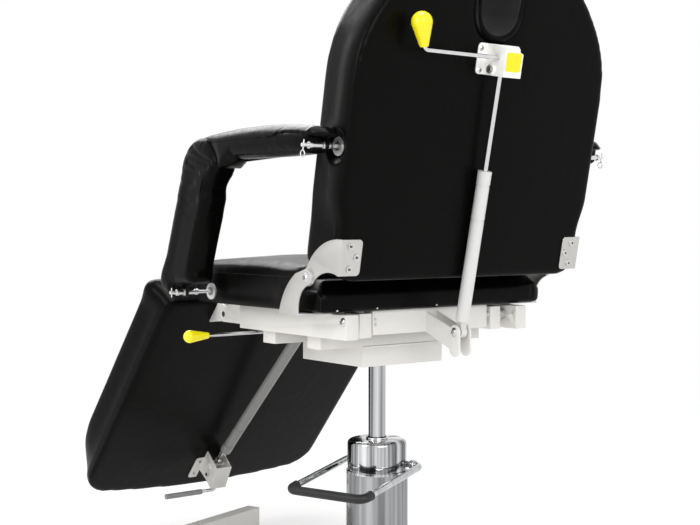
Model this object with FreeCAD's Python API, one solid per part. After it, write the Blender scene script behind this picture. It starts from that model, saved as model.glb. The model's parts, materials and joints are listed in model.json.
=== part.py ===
# Podiatry chair: a hydraulic treatment chair with a reclining backrest, a swinging legrest,
# a tilting seat and armrests that follow the backrest.
# Millimetres, +Z up. The sitter faces -Y and the sitter's left is +X.
# The origin is on the floor, under the middle of the whole chair.
import FreeCAD, Part
import os
from math import asin, atan2, cos, degrees, hypot, radians, sin, tan

os.makedirs("parts", exist_ok=True)

# PLACES: heights of the upper frame are measured from the underside of its rails.
rail_height = 555.0          # floor to the underside of the rails, lift as drawn
column_side = -19.7          # column axis beside the middle of the chair
column_back = 192.4          # column axis behind the middle of the chair
base_turn = 19.0             # base and pedal, turned about the column
overrun = 2.0                # how far a cutter passes a face
same_point = 0.001
seat_gap = 0.3               # soft piece to its neighbour
run_gap = 0.05               # radial clearance of a turning or sliding shaft
wall_gap = 1.0               # steel sliding past steel
drain_radius = 4.0

# BASE: two foot beams joined by a spine, with a plate under the pump.
beam_width = 36.0
beam_height = 50.0
beam_wall = 2.5
beam_length = 520.0
beam_front = 534.0           # column axis to the middle of the front beam
beam_rear = 262.0
spine_width = 80.0
foot_height = 8.0
foot_radius = 17.0
foot_inset = 34.0            # foot from the beam's end
foot_taper_share = 0.8
cap_lip = 3.0
cap_plug = 14.0
base_plate_side = 190.0
base_plate_thick = 8.0
pump_flange_radius = 88.0
pump_flange_thick = 6.0
pump_bolt_place = 54.0       # bolts from the column axis, along both sides of the plate
pump_bolt_radius = 5.0
pump_bolt_head = 8.0
pump_bolt_rise = 5.0

# PUMP
cover_radius = 65.5
cover_wall = 1.5
cap_radius = 62.5
cap_top = 320.0              # above the floor
cap_height = 70.0
cap_round = 10.0
cap_wall = 2.0
cap_rim = 5.0                # rolled rim of the cap
cylinder_radius = 24.0
cylinder_floor = 4.0
piston_radius = 18.0
piston_bottom = 152.0        # above the floor, lift as drawn

# PEDAL: a bent rod that carries a rubber sleeve.
shaft_height = 266.0
shaft_offset = -33.0         # the shaft passes behind the piston
pedal_rod_radius = 7.0
pedal_half_width = 90.0
pedal_reach = 193.0
pedal_drop = 31.0
pedal_corner = 26.0          # arm's centre line to the end of the shaft
pedal_bend = 18.0
sleeve_radius = 11.5
sleeve_return = 12.0         # how far the sleeve runs back along each arm past the bend

# SUBFRAME: a box on the piston, two cross tubes and two inner rails.
column_box_half = 106.0
column_box_front = -121.0
column_box_rear = 87.0
column_box_low = -69.5
column_box_wall = 4.0
hub_radius = 30.0
cross_half = 212.0
cross_width = 44.0
cross_depth = 28.0
cross_wall = 3.0
front_cross_front = -114.0
rail_wall = 2.5
inner_rail_depth = 47.0
inner_rail_inside = 157.0
inner_rail_outside = 186.0
inner_rail_front = -172.0
inner_rail_rear = 179.0
tilt_y = 165.0               # tilt axis of the seat
tilt_z = 30.0
tilt_bolt_radius = 6.0
tilt_spacer_radius = 11.0
frame_head_radius = 9.0
frame_head_rise = 4.5

# SEAT FRAME
outer_rail_depth = 48.0
outer_rail_inside = 207.0
outer_rail_outside = 236.0
outer_rail_front = -166.0
outer_rail_rear = 203.0
foot_plate = 4.0             # thickness of the plates between the rails and the board
yoke_thick = 5.0
yoke_nose = 17.0
yoke_step = 28.0             # from the legrest hinge back to the yoke's top flange
yoke_lap = 8.0               # how far the yoke runs back along the rail
legrest_hinge_y = -278.0
legrest_hinge_z = 21.0
legrest_pin_radius = 6.0
front_bar_front = -226.0
front_bar_rear = -198.0
front_bar_low = 6.0
front_bar_high = 44.0
rear_bar_half = 151.0
rear_bar_front = 145.0
rear_bar_rear = 175.0
rear_bar_low = 4.0
rail_bolt_y = 192.0
rail_bolt_z = 34.0

# SEAT
board_thick = 15.0
seat_board_inset = 17.0
seat_board_front = -262.0
seat_board_rear = 184.0
seat_half = 289.0
seat_front = -272.0
seat_rear = 196.0
seat_shelf_y = 133.0         # behind this the cushion drops under the backrest
seat_edge_top = 138.0
seat_shelf_top = 99.0
seat_round = 26.0
seat_roll_round = 14.0
seat_tuck = 6.0
seat_crown = 15.0
seat_draw = 12.0             # how far the seat's ends draw in

# BACKREST: x across, v up the back from the hinge, n towards the rear.
hinge_y = 183.0
hinge_z = 120.0
rest_recline = 11.0
back_overhang = 17.0         # backrest's side outside the seat's
back_low = 8.0
back_shoulder = 374.0
back_arch = 288.0
arch_arcs = 4                # arcs that draw the arch
back_corner = 40.0
back_rear = 84.0
back_board_thick = 14.0
back_board_inset = 1.5
back_edge_front = -48.0
back_crown = 9.0
back_round = 33.0            # depth over which the front edge rounds
hole_half = 45.0
hole_low = 475.0
hole_high = 618.0
lining_wall = 12.0
lining_proud = 3.0

# HINGE PLATES
plate_thick = 4.0
bracket_thick = 3.0
washer_thick = 1.5
hinge_bolt_radius = 5.0
hinge_eye = 16.0
hinge_head_radius = 9.0
hinge_head_rise = 4.7
bracket_flange = 49.0
bracket_flange_low = 22.0
bracket_flange_high = 89.0
bracket_corner = 8.0
claw_front = 94.0
claw_rear = 158.0
claw_bend = 42.0             # how far the claw's arm curves forward of its foot
screw_radius = 3.0
screw_head = 5.5
screw_rise = 2.4
screw_length = 10.0

# ARMRESTS
arm_gap = 34.0               # seat's side to the armrest
arm_width = 54.0
arm_draw = 8.0               # how far the pads draw in at their sides
seat_rod_y = -188.5
seat_rod_z = 78.0
back_rod_v = 250.5
back_rod_n = 45.5
rod_radius = 3.5
rod_play = 0.2               # radial play of the armrest tubes on their rods
rod_tube_radius = 4.8
rod_disc_radius = 17.0
rod_disc_thick = 4.0
rod_tip = 12.0               # rod's end outside the armrest
rod_bracket_half = 13.5
rod_bracket_thick = 6.0
seat_bracket_half = 27.0
rod_bracket_depth = 31.0     # plate that holds a rod, inside the seat's side
collar_radius = 6.2
collar_width = 5.0
tube_inset = 2.5             # armrest tube's ends inside the pad's sides
lynch_radius = 1.2
lynch_length = 19.0
lynch_ring = 6.0
lynch_wire = 1.0
elbow_pin_radius = 6.0
drum_radius = 74.0
post_front = 61.0            # pad's faces from the line through its two pivots
post_rear = 56.0
post_toe = 68.0
post_toe_drop = 21.0
post_cut = 11.0              # pad's lower end above the rod
arm_low = 344.0
arm_side_top = 381.0
arm_crown = 19.0
arm_rear = 302.0
arm_rear_drop = 8.0
arm_lip_low = 368.0          # thin pad that reaches over the rear rod
arm_block_round = 6.0
arm_crown_end = 30.0         # end of the crown's arc before the rear end
arm_haunch_angle = 8.0
arm_tip_angle = 88.0
core_thick = 6.0
core_half_depth = 10.0
core_hub = 13.0
arm_core_inset = 14.0        # armrest's inner side to its core
core_gap = 8.0               # between the cores of arm and post
arm_core_knee_y = -10.0
arm_core_knee_z = 347.0
recline_limit = 68.0

# SPRINGS: gas springs with their clevises and eyes
back_pin_y = 259.0
back_pin_z = 9.0
back_eye_v = 413.0
back_eye_n = 107.0
spring_pin_radius = 5.0
spring_body_radius = 13.0
spring_cap_radius = 13.5
spring_cap_height = 27.0
spring_groove = 1.0
spring_rod_radius = 5.0
spring_eye_radius = 12.0
tongue_half = 7.0
body_start = 22.0            # pivot to the end of a spring's cylinder
back_body_length = 317.0     # clevis pin to the top of the cylinder
back_rod_tail = 178.0        # rod's hidden end above the clevis pin
eye_gap = 1.0                # rod's tip to the eye that it meets
release_eye = 8.0
clevis_half = 16.5
clevis_plate = 4.5
clevis_drop = 34.0
clevis_round = 14.0

# RELEASE BRACKET on the backrest
release_sheet = 3.0
release_half = 22.0
release_rear = 140.0
release_low = 402.0
release_high = 460.0
release_flange = 21.0
release_slope_share = 0.25   # corner cut from the bracket's rear web
lever_radius = 4.0
back_lever_v = 436.0
back_lever_n = 119.0
back_lever_end = 201.0
back_lever_rise = 18.0
lever_bend = 12.0
cam_radius = 7.0
knob_radius = 19.0
knob_neck = 8.0
knob_length = 62.0
knob_lean = 16.0
knob_socket = 12.0

# LEGREST: s down the legrest from its hinge, n towards the front, where the leg lies.
rest_droop = 49.2
leg_overhang = 42.0          # legrest's side outside the seat's
leg_top = -4.0
leg_bottom = 665.0
leg_bottom_side = 646.0
leg_corner = 74.0
leg_top_corner = 24.0
leg_rear = 39.0
leg_edge_front = 121.0
leg_crown = 10.0
leg_round = 26.0
ear_thick = 6.0
ear_gap = 0.5
ear_radius = 15.0
ear_length = 60.0
ear_foot = 32.0
leg_eye_s = 552.0
leg_eye_n = 10.0
leg_pin_y = -256.0
leg_pin_z = -10.0
leg_body_low = 60.0          # low pivot to the end of the cylinder
leg_rod_tail = 488.0         # rod's hidden end from the low pivot
leg_eye_play = 2.7           # open pivot: the play of the top eye about its pin
lug_thick = 4.0
lug_inside = 9.0
lug_radius = 12.0
leg_bracket_half = 22.0
leg_bracket_sheet = 3.0
leg_bracket_top = 531.0
leg_bracket_low = 592.0
leg_bracket_foot = 627.0
leg_cheek_toe = 6.0
leg_web_top = -20.0
leg_web_low = -34.0
leg_flange = 22.0
leg_lever_s = 574.0
leg_lever_n = 0.0
leg_lever_radius = 4.5
grip_s = 604.0
grip_n = -28.0
grip_start = 42.0
grip_end = 136.0
grip_radius = 6.5

# TILT LEVER AND SPRING under the seat
tilt_lever_y = -145.0
tilt_lever_z = -9.5
tilt_lever_inner = 100.0
tilt_lever_overhang = 37.0   # lever's knob outside the seat's side
tilt_lever_radius = 3.5
tilt_knob_radius = 13.0
tilt_knob_length = 56.0
tilt_knob_neck = 6.0
bush_half = 8.0
bush_low = -18.0
tilt_pin_y = 30.0
tilt_pin_z = -4.0
tilt_eye_y = -180.0
tilt_eye_z = 34.0
tilt_body_radius = 11.0
tilt_body_length = 128.0
tilt_rod_tail = 70.0
tilt_eye_radius = 8.0
tilt_eye_play = 1.3

nodes = {}


def vec(x, y, z):
    return FreeCAD.Vector(x, y, z)


X_AXIS = vec(1, 0, 0)
Y_AXIS = vec(0, 1, 0)
Z_AXIS = vec(0, 0, 1)
ORIGIN = vec(0, 0, 0)
SLANT = sin(radians(45))


def block(x0, x1, y0, y1, z0, z1):
    return Part.makeBox(x1 - x0, y1 - y0, z1 - z0, vec(x0, y0, z0))


def rod(start, end, radius):
    line = end - start
    return Part.makeCylinder(radius, line.Length, start, line)


def across(x0, x1, y, z, radius):
    """Cylinder along X."""
    return rod(vec(x0, y, z), vec(x1, y, z), radius)


def fuse(shapes):
    return shapes[0].multiFuse(shapes[1:]).removeSplitter()


def group(shapes):
    return Part.makeCompound(shapes)


def moved(shape, x, y, z):
    copy = shape.copy()
    copy.translate(vec(x, y, z))
    return copy


def turned(shape, axis, angle):
    copy = shape.copy()
    copy.rotate(ORIGIN, axis, angle)
    return copy


def mirrored(shape):
    return shape.mirror(ORIGIN, X_AXIS)


def both_sides(shape):
    return [shape, mirrored(shape)]


def aimed(shape, start, end):
    """Turn a shape that was built along +Z so that it runs from start to end in the YZ plane."""
    line = end - start
    return moved(turned(shape, X_AXIS, -degrees(atan2(line.y, line.z))), start.x, start.y, start.z)


def outline(points):
    """Closed wire through points; a pair (middle, end) makes an arc."""
    edges = []
    last = points[0]
    for item in points[1:] + [points[0]]:
        if isinstance(item, tuple):
            edges.append(Part.Arc(last, item[0], item[1]).toShape())
            last = item[1]
        elif (item - last).Length > same_point:
            edges.append(Part.LineSegment(last, item).toShape())
            last = item
    return Part.Wire(edges)


def sheet(points, direction):
    return Part.Face(outline(points)).extrude(direction)


def loft(wires):
    return Part.makeLoft(wires, True, True)


def revolved(profile):
    """Solid of revolution about Z from a list of (radius, height)."""
    wire = Part.makePolygon([vec(r, 0, z) for r, z in profile + [profile[0]]])
    return Part.Face(wire).revolve(ORIGIN, Z_AXIS, 360)


def tube(radius, inner, low, high):
    return revolved([(inner, low), (radius, low), (radius, high), (inner, high)])


def dome(radius, rise):
    """Dome head that stands on the XY plane."""
    ball = (radius * radius + rise * rise) / (2 * rise)
    return Part.makeSphere(ball, vec(0, 0, rise - ball)).common(Part.makeCylinder(radius, rise))


def bolt(place, direction, head, rise, radius, length):
    """Dome bolt: the head rises along direction from place, the shank runs the other way."""
    shape = dome(head, rise).fuse(Part.makeCylinder(radius, length, vec(0, 0, -length)))
    shape.Placement = FreeCAD.Placement(place, FreeCAD.Rotation(Z_AXIS, direction))
    return shape


def plugged(x0, x1, y0, y1, z0, z1, wall):
    """Box tube with closed ends and a drain hole in its underside."""
    inner = block(x0 + wall, x1 - wall, y0 + wall, y1 - wall, z0 + wall, z1 - wall)
    middle = vec((x0 + x1) / 2, (y0 + y1) / 2, z0)
    drain = rod(middle - Z_AXIS * overrun, middle + Z_AXIS * (wall + overrun), drain_radius)
    return block(x0, x1, y0, y1, z0, z1).cut(inner).cut(drain)


def open_tube(x0, x1, y0, y1, z0, z1, wall, along):
    """Box tube, open at both ends along x or y."""
    dx, dy = (-overrun, wall) if along == "x" else (wall, -overrun)
    inner = block(x0 + dx, x1 - dx, y0 + dy, y1 - dy, z0 + wall, z1 - wall)
    return block(x0, x1, y0, y1, z0, z1).cut(inner)


def bent_rod(points, bend, radius):
    """Round bar through points, with arcs of one radius at its corners."""
    edges = []
    start = points[0]
    for before, corner, after in zip(points, points[1:], points[2:]):
        into = (corner - before).normalize()
        out = (after - corner).normalize()
        half = into.getAngle(out) / 2
        first = corner - into * (bend * tan(half))
        last = corner + out * (bend * tan(half))
        inward = (out - into).normalize()
        middle = corner + inward * (bend / cos(half) - bend)
        edges.append(Part.LineSegment(start, first).toShape())
        edges.append(Part.Arc(first, middle, last).toShape())
        start = last
    edges.append(Part.LineSegment(start, points[-1]).toShape())
    ring = Part.Wire(Part.makeCircle(radius, points[0], points[1] - points[0]))
    return Part.Wire(edges).makePipeShell([ring], True, True)


def pear(length, neck, radius):
    """Pear-shaped knob along +Z: a cone from its neck on the XY plane that runs into a ball."""
    wide = length - radius
    lean = asin(radius / hypot(neck, wide)) - atan2(neck, wide)
    turn = (radians(90) - lean) / 2
    points = [ORIGIN, vec(neck, 0, 0), vec(radius * cos(lean), 0, wide - radius * sin(lean)),
              (vec(radius * cos(turn), 0, wide + radius * sin(turn)), vec(0, 0, length))]
    return Part.Face(outline(points)).revolve(ORIGIN, Z_AXIS, 360)


def slot_bar(start, end, half, x0, x1):
    """Flat bar with round ends from start to end in the YZ plane, between two X places."""
    line = (end - start).normalize()
    side = vec(0, -line.z, line.y) * half
    tip = line * half
    points = [start + side, (start - tip, start - side), end - side, (end + tip, end + side)]
    return moved(sheet(points, X_AXIS * (x1 - x0)), x0, 0, 0)


def lug_pair(start, end, radius):
    """Two flat lugs beside a spring's eye."""
    return both_sides(slot_bar(start, end, radius, lug_inside, lug_inside + lug_thick))


def leaned(shape):
    """Backrest frame to chair frame."""
    return moved(turned(shape, X_AXIS, -rest_recline), 0, hinge_y, hinge_z)


def drooped(shape):
    """Legrest frame, with Y as -s and Z as n, to chair frame."""
    return moved(turned(shape, X_AXIS, rest_droop), 0, legrest_hinge_y, legrest_hinge_z)


def back_point(v, n):
    lean = radians(rest_recline)
    return vec(0, hinge_y + v * sin(lean) + n * cos(lean), hinge_z + v * cos(lean) - n * sin(lean))


def leg_point(s, n):
    droop = radians(rest_droop)
    y = legrest_hinge_y - s * cos(droop) - n * sin(droop)
    return vec(0, y, legrest_hinge_z - s * sin(droop) + n * cos(droop))


def keep(name, shape):
    """Store a node of the upper frame, lifted to its height above the floor."""
    nodes[name] = moved(shape, column_side, column_back, rail_height)


def keep_base(name, shape):
    """Store a node of the base or the pump, which are turned about the column."""
    nodes[name] = moved(turned(shape, Z_AXIS, base_turn), column_side, column_back, 0)


# Pivots that several pieces share
hinge_line = vec(0, hinge_y, hinge_z)
seat_rod_line = vec(0, seat_rod_y, seat_rod_z)
back_rod_line = back_point(back_rod_v, back_rod_n)
elbow = seat_rod_line + back_rod_line - hinge_line
core_knee = vec(0, arm_core_knee_y, arm_core_knee_z)
back_pin = vec(0, back_pin_y, back_pin_z)
back_eye = back_point(back_eye_v, back_eye_n)
leg_pin = vec(0, leg_pin_y, leg_pin_z)
leg_eye = leg_point(leg_eye_s, leg_eye_n)
tilt_pin = vec(0, tilt_pin_y, tilt_pin_z)
tilt_eye = vec(0, tilt_eye_y, tilt_eye_z)

# Heights and places that follow from the sizes above
seat_board_half = seat_half - seat_board_inset
back_half = seat_half + back_overhang
leg_half = seat_half + leg_overhang
tilt_lever_end = seat_half + tilt_lever_overhang
rod_bracket_x = seat_half - rod_bracket_depth
arm_inner = seat_half + arm_gap
arm_outer = arm_inner + arm_width
rod_end = arm_outer + rod_tip
arm_core_x = arm_inner + arm_core_inset
post_core_x = arm_core_x + core_thick + core_gap
board_low = outer_rail_depth + foot_plate
board_top = board_low + board_thick
seat_low = board_low + seat_gap
back_board_front = back_rear - back_board_thick
bracket_x = back_half + seat_gap
washer_x = bracket_x + bracket_thick
claw_x = washer_x + washer_thick
claw_outer = claw_x + plate_thick
pump_floor = foot_height + beam_height + base_plate_thick
yoke_inside = outer_rail_inside - yoke_thick
ear_outer = yoke_inside - ear_gap
pin_x = rod_end - rod_radius


# Base and pump

def base():
    low = foot_height
    top = foot_height + beam_height
    half = beam_width / 2
    length = beam_length / 2
    beams = [open_tube(-length, length, y - half, y + half, low, top, beam_wall, "x")
             for y in (-beam_front, beam_rear)]
    spine = open_tube(-spine_width / 2, spine_width / 2, half - beam_front, beam_rear - half,
                      low, top, beam_wall, "y")
    side = base_plate_side / 2
    plate = block(-side, side, -side, side, top, pump_floor)
    high = pump_floor + pump_flange_thick
    bolts = [bolt(vec(x, y, high), Z_AXIS, pump_bolt_head, pump_bolt_rise, pump_bolt_radius,
                  high - top) for x, y in bolt_places()]
    keep_base("base_front_beam", beams[0])
    keep_base("base_rear_beam", beams[1])
    keep_base("base_spine", bolt_holes(fuse([spine, plate])))
    keep_base("pump_bolts", group(bolts))
    base_ends(low, top)


def bolt_places():
    spots = (-pump_bolt_place, pump_bolt_place)
    return [(x, y) for x in spots for y in spots]


def bolt_holes(shape):
    """Cut the holes of the pump's bolts through its flange or the base plate."""
    for x, y in bolt_places():
        shape = shape.cut(rod(vec(x, y, pump_floor - base_plate_thick - beam_wall),
                              vec(x, y, pump_floor + pump_flange_thick + overrun),
                              pump_bolt_radius + run_gap))
    return shape


def base_ends(low, top):
    """Plastic caps in the beams' ends, and feet under them."""
    half = beam_width / 2
    inner = half - beam_wall
    caps = []
    feet = []
    for y in (-beam_front, beam_rear):
        for side in (-1, 1):
            end = side * beam_length / 2
            plug = block(-cap_plug, 0, y - inner, y + inner, low + beam_wall, top - beam_wall)
            lip = block(0, cap_lip, y - half, y + half, low, top)
            cap = plug.fuse(lip)
            if side < 0:
                cap = mirrored(cap)
            caps.append(moved(cap, end, 0, 0))
            foot = revolved([(0, 0), (foot_radius * foot_taper_share, 0), (foot_radius, foot_height),
                             (0, foot_height)])
            feet.append(moved(foot, end - side * foot_inset, y, 0))
    keep_base("beam_end_caps", group(caps))
    keep_base("base_feet", group(feet))


def pump():
    cap_low = cap_top - cap_height
    flange_top = pump_floor + pump_flange_thick
    keep_base("pump_cover", tube(cover_radius, cover_radius - cover_wall, flange_top, cap_low))
    keep_base("pump_cap", pump_cap(cap_low))
    bore = piston_radius + run_gap
    high = cap_top - cap_wall - wall_gap
    cylinder = revolved([(0, pump_floor), (pump_flange_radius, pump_floor),
                         (pump_flange_radius, flange_top), (cylinder_radius, flange_top),
                         (cylinder_radius, high), (bore, high), (bore, pump_floor + cylinder_floor),
                         (0, pump_floor + cylinder_floor)])
    keep_base("pump_cylinder", bolt_holes(cylinder))
    top = rail_height - cross_depth - column_box_wall
    keep_base("piston", rod(vec(0, 0, piston_bottom), vec(0, 0, top), piston_radius))


def pump_cap(cap_low):
    """Turned cap with a rounded shoulder, a rim, and holes for the piston and the pedal shaft."""
    corner = cap_radius - cap_round
    shoulder = cap_top - cap_round
    inner = cap_radius - cap_wall
    bend = cap_round - cap_wall
    points = [vec(piston_radius + run_gap, 0, cap_top - cap_wall),
              vec(piston_radius + run_gap, 0, cap_top), vec(corner, 0, cap_top),
              (vec(corner + cap_round * SLANT, 0, shoulder + cap_round * SLANT),
               vec(cap_radius, 0, shoulder)),
              vec(cap_radius, 0, cap_low + cap_rim), vec(cover_radius, 0, cap_low + cap_rim),
              vec(cover_radius, 0, cap_low), vec(inner, 0, cap_low), vec(inner, 0, shoulder),
              (vec(corner + bend * SLANT, 0, shoulder + bend * SLANT),
               vec(corner, 0, cap_top - cap_wall))]
    cap = Part.Face(outline(points)).revolve(ORIGIN, Z_AXIS, 360)
    return cap.cut(pedal_shaft(pedal_rod_radius + run_gap))


def pedal_shaft(radius):
    end = pedal_half_width - pedal_corner
    return rod(vec(shaft_offset, -end, shaft_height), vec(shaft_offset, end, shaft_height), radius)


def pedal():
    high = shaft_height
    low = shaft_height - pedal_drop
    near = pedal_half_width
    end = near - pedal_corner
    path = [vec(shaft_offset, -end, high), vec(shaft_offset, -near, high),
            vec(pedal_reach, -near, low), vec(pedal_reach, near, low),
            vec(shaft_offset, near, high), vec(shaft_offset, end, high)]
    arms = bent_rod(path, pedal_bend, pedal_rod_radius)
    back = pedal_bend + sleeve_return
    rise = pedal_drop * back / (pedal_reach - shaft_offset)
    grip = [vec(pedal_reach - back, -near, low + rise), vec(pedal_reach, -near, low),
            vec(pedal_reach, near, low), vec(pedal_reach - back, near, low + rise)]
    sleeve = bent_rod(grip, pedal_bend, sleeve_radius)
    keep_base("pedal_shaft", pedal_shaft(pedal_rod_radius))
    keep_base("pedal_arms", arms)
    keep_base("pedal_sleeve", sleeve.cut(arms))


# Subframe

def subframe():
    outer = block(-column_box_half, column_box_half, column_box_front, column_box_rear,
                  column_box_low, -cross_depth)
    box = plugged(-column_box_half, column_box_half, column_box_front, column_box_rear,
                  column_box_low, -cross_depth, column_box_wall)
    hub = rod(vec(0, 0, column_box_low), vec(0, 0, -cross_depth - column_box_wall / 2), hub_radius)
    bore = rod(vec(0, 0, column_box_low - overrun), vec(0, 0, -cross_depth - column_box_wall),
               piston_radius + run_gap)
    lugs = [lug.cut(outer) for lug in lug_pair(tilt_pin, vec(0, tilt_pin_y, -cross_depth), lug_radius)]
    reach = lug_inside + lug_thick
    pin = across(-reach, reach, tilt_pin_y, tilt_pin_z, spring_pin_radius)
    keep("column_box", fuse([box.fuse(hub).cut(bore)] + lugs + [pin]))
    crosses = [plugged(-cross_half, cross_half, y, y + cross_width, -cross_depth, 0, cross_wall)
               for y in (front_cross_front, column_box_rear - cross_width)]
    keep("cross_tubes", group(crosses))
    rail = plugged(inner_rail_inside, inner_rail_outside, inner_rail_front, inner_rail_rear,
                   0, inner_rail_depth, rail_wall)
    hole = across(inner_rail_inside - overrun, inner_rail_outside + overrun, tilt_y, tilt_z,
                  tilt_bolt_radius + run_gap)
    keep("inner_rails", group(both_sides(rail.cut(hole)) + lever_bushes()))
    keep("tilt_pivots", group(both_sides(tilt_pivot())))


def lever_bushes():
    """Blocks that carry the tilt lever's rod, under the left inner rail and on the cross tube."""
    middle = (inner_rail_inside + inner_rail_outside) / 2
    front = tilt_lever_y - bush_half
    outer = block(middle - bush_half, middle + bush_half, front, tilt_lever_y + bush_half, bush_low, 0)
    start = tilt_lever_inner + lug_thick
    inner = block(start, start + bush_half, front, front_cross_front, bush_low, -cross_wall)
    hole = across(tilt_lever_inner, tilt_lever_end, tilt_lever_y, tilt_lever_z,
                  tilt_lever_radius + run_gap)
    return [outer.cut(hole), inner.cut(hole)]


def tilt_pivot():
    """Pivot bolt from the inner rail into the outer rail, with a spacer between them."""
    reach = outer_rail_inside + rail_wall + tilt_bolt_radius
    pivot = bolt(vec(inner_rail_inside, tilt_y, tilt_z), -X_AXIS, frame_head_radius, frame_head_rise,
                 tilt_bolt_radius, reach - inner_rail_inside)
    ring = tube(tilt_spacer_radius, tilt_bolt_radius + run_gap, inner_rail_outside,
                outer_rail_inside - run_gap)
    return group([pivot, moved(turned(ring, Y_AXIS, 90), 0, tilt_y, tilt_z)])


def tilt_lever():
    """Rod that turns in two bushes under the frame, with a knob at the chair's left."""
    bar = across(tilt_lever_inner, tilt_lever_end + knob_socket, tilt_lever_y, tilt_lever_z,
                 tilt_lever_radius)
    knob = turned(pear(tilt_knob_length, tilt_knob_neck, tilt_knob_radius), Y_AXIS, 90)
    knob = moved(knob, tilt_lever_end, tilt_lever_y, tilt_lever_z)
    keep("tilt_lever_rod", bar)
    keep("tilt_lever_knob", knob.cut(bar))


def spring_eye(radius, reach):
    eye = across(-tongue_half, tongue_half, 0, 0, radius)
    neck = block(-tongue_half, tongue_half, -tongue_half, tongue_half, 0, reach)
    return eye.fuse(neck)


def eye_hole(height, play):
    return across(-tongue_half - overrun, tongue_half + overrun, 0, height, spring_pin_radius + play)


def tilt_spring():
    """Short locking gas spring between the subframe and the seat frame."""
    reach = (tilt_eye - tilt_pin).Length
    body = tube(tilt_body_radius, spring_rod_radius + run_gap, body_start, tilt_body_length)
    body = fuse([body, spring_eye(tilt_body_radius, body_start)]).cut(eye_hole(0, run_gap))
    keep("tilt_spring_body", aimed(body, tilt_pin, tilt_eye))
    bar = rod(vec(0, 0, tilt_rod_tail), vec(0, 0, reach), spring_rod_radius)
    ring = across(-tongue_half, tongue_half, 0, reach, tilt_eye_radius + tilt_eye_play)
    end = fuse([bar, ring]).cut(eye_hole(reach, tilt_eye_play))
    keep("tilt_spring_rod", aimed(end, tilt_pin, tilt_eye))


# Seat frame

def seat_frame():
    rail = plugged(outer_rail_inside, outer_rail_outside, outer_rail_front, outer_rail_rear,
                   0, outer_rail_depth, rail_wall)
    pivot_hole = across(outer_rail_inside - overrun, outer_rail_inside + rail_wall + overrun,
                        tilt_y, tilt_z, tilt_bolt_radius + run_gap)
    bolt_hole = across(outer_rail_inside - overrun, outer_rail_outside + overrun, rail_bolt_y,
                       rail_bolt_z, screw_radius + run_gap)
    keep("outer_rails", group(both_sides(rail.cut(pivot_hole).cut(bolt_hole))))
    keep("legrest_yokes", group(both_sides(yoke())))
    keep("front_crossbar", front_crossbar())
    keep("rear_crossbar", rear_crossbar())
    pin = bolt(vec(clevis_half, back_pin_y, back_pin_z), X_AXIS, frame_head_radius, frame_head_rise,
               spring_pin_radius, clevis_half * 2 + frame_head_rise)
    keep("clevis_pin", pin)
    rail_bolt = bolt(vec(outer_rail_outside, rail_bolt_y, rail_bolt_z), X_AXIS, frame_head_radius,
                     frame_head_rise, screw_radius, outer_rail_outside - outer_rail_inside)
    ear_inner = ear_outer - ear_thick
    hinge = bolt(vec(ear_inner, legrest_hinge_y, legrest_hinge_z), -X_AXIS, frame_head_radius,
                 frame_head_rise, legrest_pin_radius, outer_rail_inside - ear_inner)
    keep("seat_frame_bolts", group(both_sides(rail_bolt) + both_sides(hinge)))


def yoke():
    """Plate inside the outer rail that carries one end of the legrest, with a flange on the rail."""
    y = legrest_hinge_y
    z = legrest_hinge_z
    step = y + yoke_step
    rear = outer_rail_front + yoke_lap
    points = [vec(0, rear, z - yoke_nose), vec(0, y, z - yoke_nose),
              (vec(0, y - yoke_nose, z), vec(0, y, z + yoke_nose)),
              vec(0, step - yoke_nose / 2, z + yoke_nose), vec(0, step, board_low),
              vec(0, rear, board_low)]
    plate = moved(sheet(points, X_AXIS * yoke_thick), yoke_inside, 0, 0)
    plate = plate.cut(across(0, outer_rail_inside + overrun, y, z, legrest_pin_radius + run_gap))
    flange = block(outer_rail_inside, outer_rail_outside, step, rear, outer_rail_depth, board_low)
    return fuse([plate, flange])


def front_crossbar():
    """Bar between the yokes, with lugs for the legrest spring and the tilt spring."""
    outer = block(-yoke_inside, yoke_inside, front_bar_front, front_bar_rear, front_bar_low,
                  front_bar_high)
    bar = plugged(-yoke_inside, yoke_inside, front_bar_front, front_bar_rear, front_bar_low,
                  front_bar_high, cross_wall)
    low_corner = vec(0, front_bar_front + lug_radius, front_bar_low + lug_radius)
    rear_face = vec(0, front_bar_rear, tilt_eye_z)
    lugs = lug_pair(leg_pin, low_corner, lug_radius) + lug_pair(tilt_eye, rear_face, tilt_eye_radius)
    reach = lug_inside + lug_thick
    pins = [across(-reach, reach, pin.y, pin.z, spring_pin_radius) for pin in (leg_pin, tilt_eye)]
    return fuse([bar] + [lug.cut(outer) for lug in lugs] + pins)


def rear_crossbar():
    """Bar under the seat board, with the two clevis plates that carry the back spring."""
    bar = plugged(-rear_bar_half, rear_bar_half, rear_bar_front, rear_bar_rear, rear_bar_low,
                  board_low, cross_wall)
    neck = back_pin_y - clevis_round
    foot = vec(0, back_pin_y, back_pin_z - clevis_drop)
    points = [vec(0, rear_bar_rear, outer_rail_depth - foot_plate),
              vec(0, neck, back_pin_z + clevis_round * SLANT), back_pin, foot,
              vec(0, neck, foot.z), vec(0, rear_bar_rear, rear_bar_low)]
    gusset = sheet(points, X_AXIS * clevis_plate)
    cheek = slot_bar(back_pin, foot, clevis_round, 0, clevis_plate)
    plate = moved(gusset.fuse(cheek), clevis_half - clevis_plate, 0, 0)
    plate = plate.cut(across(0, clevis_half + overrun, back_pin_y, back_pin_z,
                             spring_pin_radius + run_gap))
    return fuse([bar] + both_sides(plate))


# Seat

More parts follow.
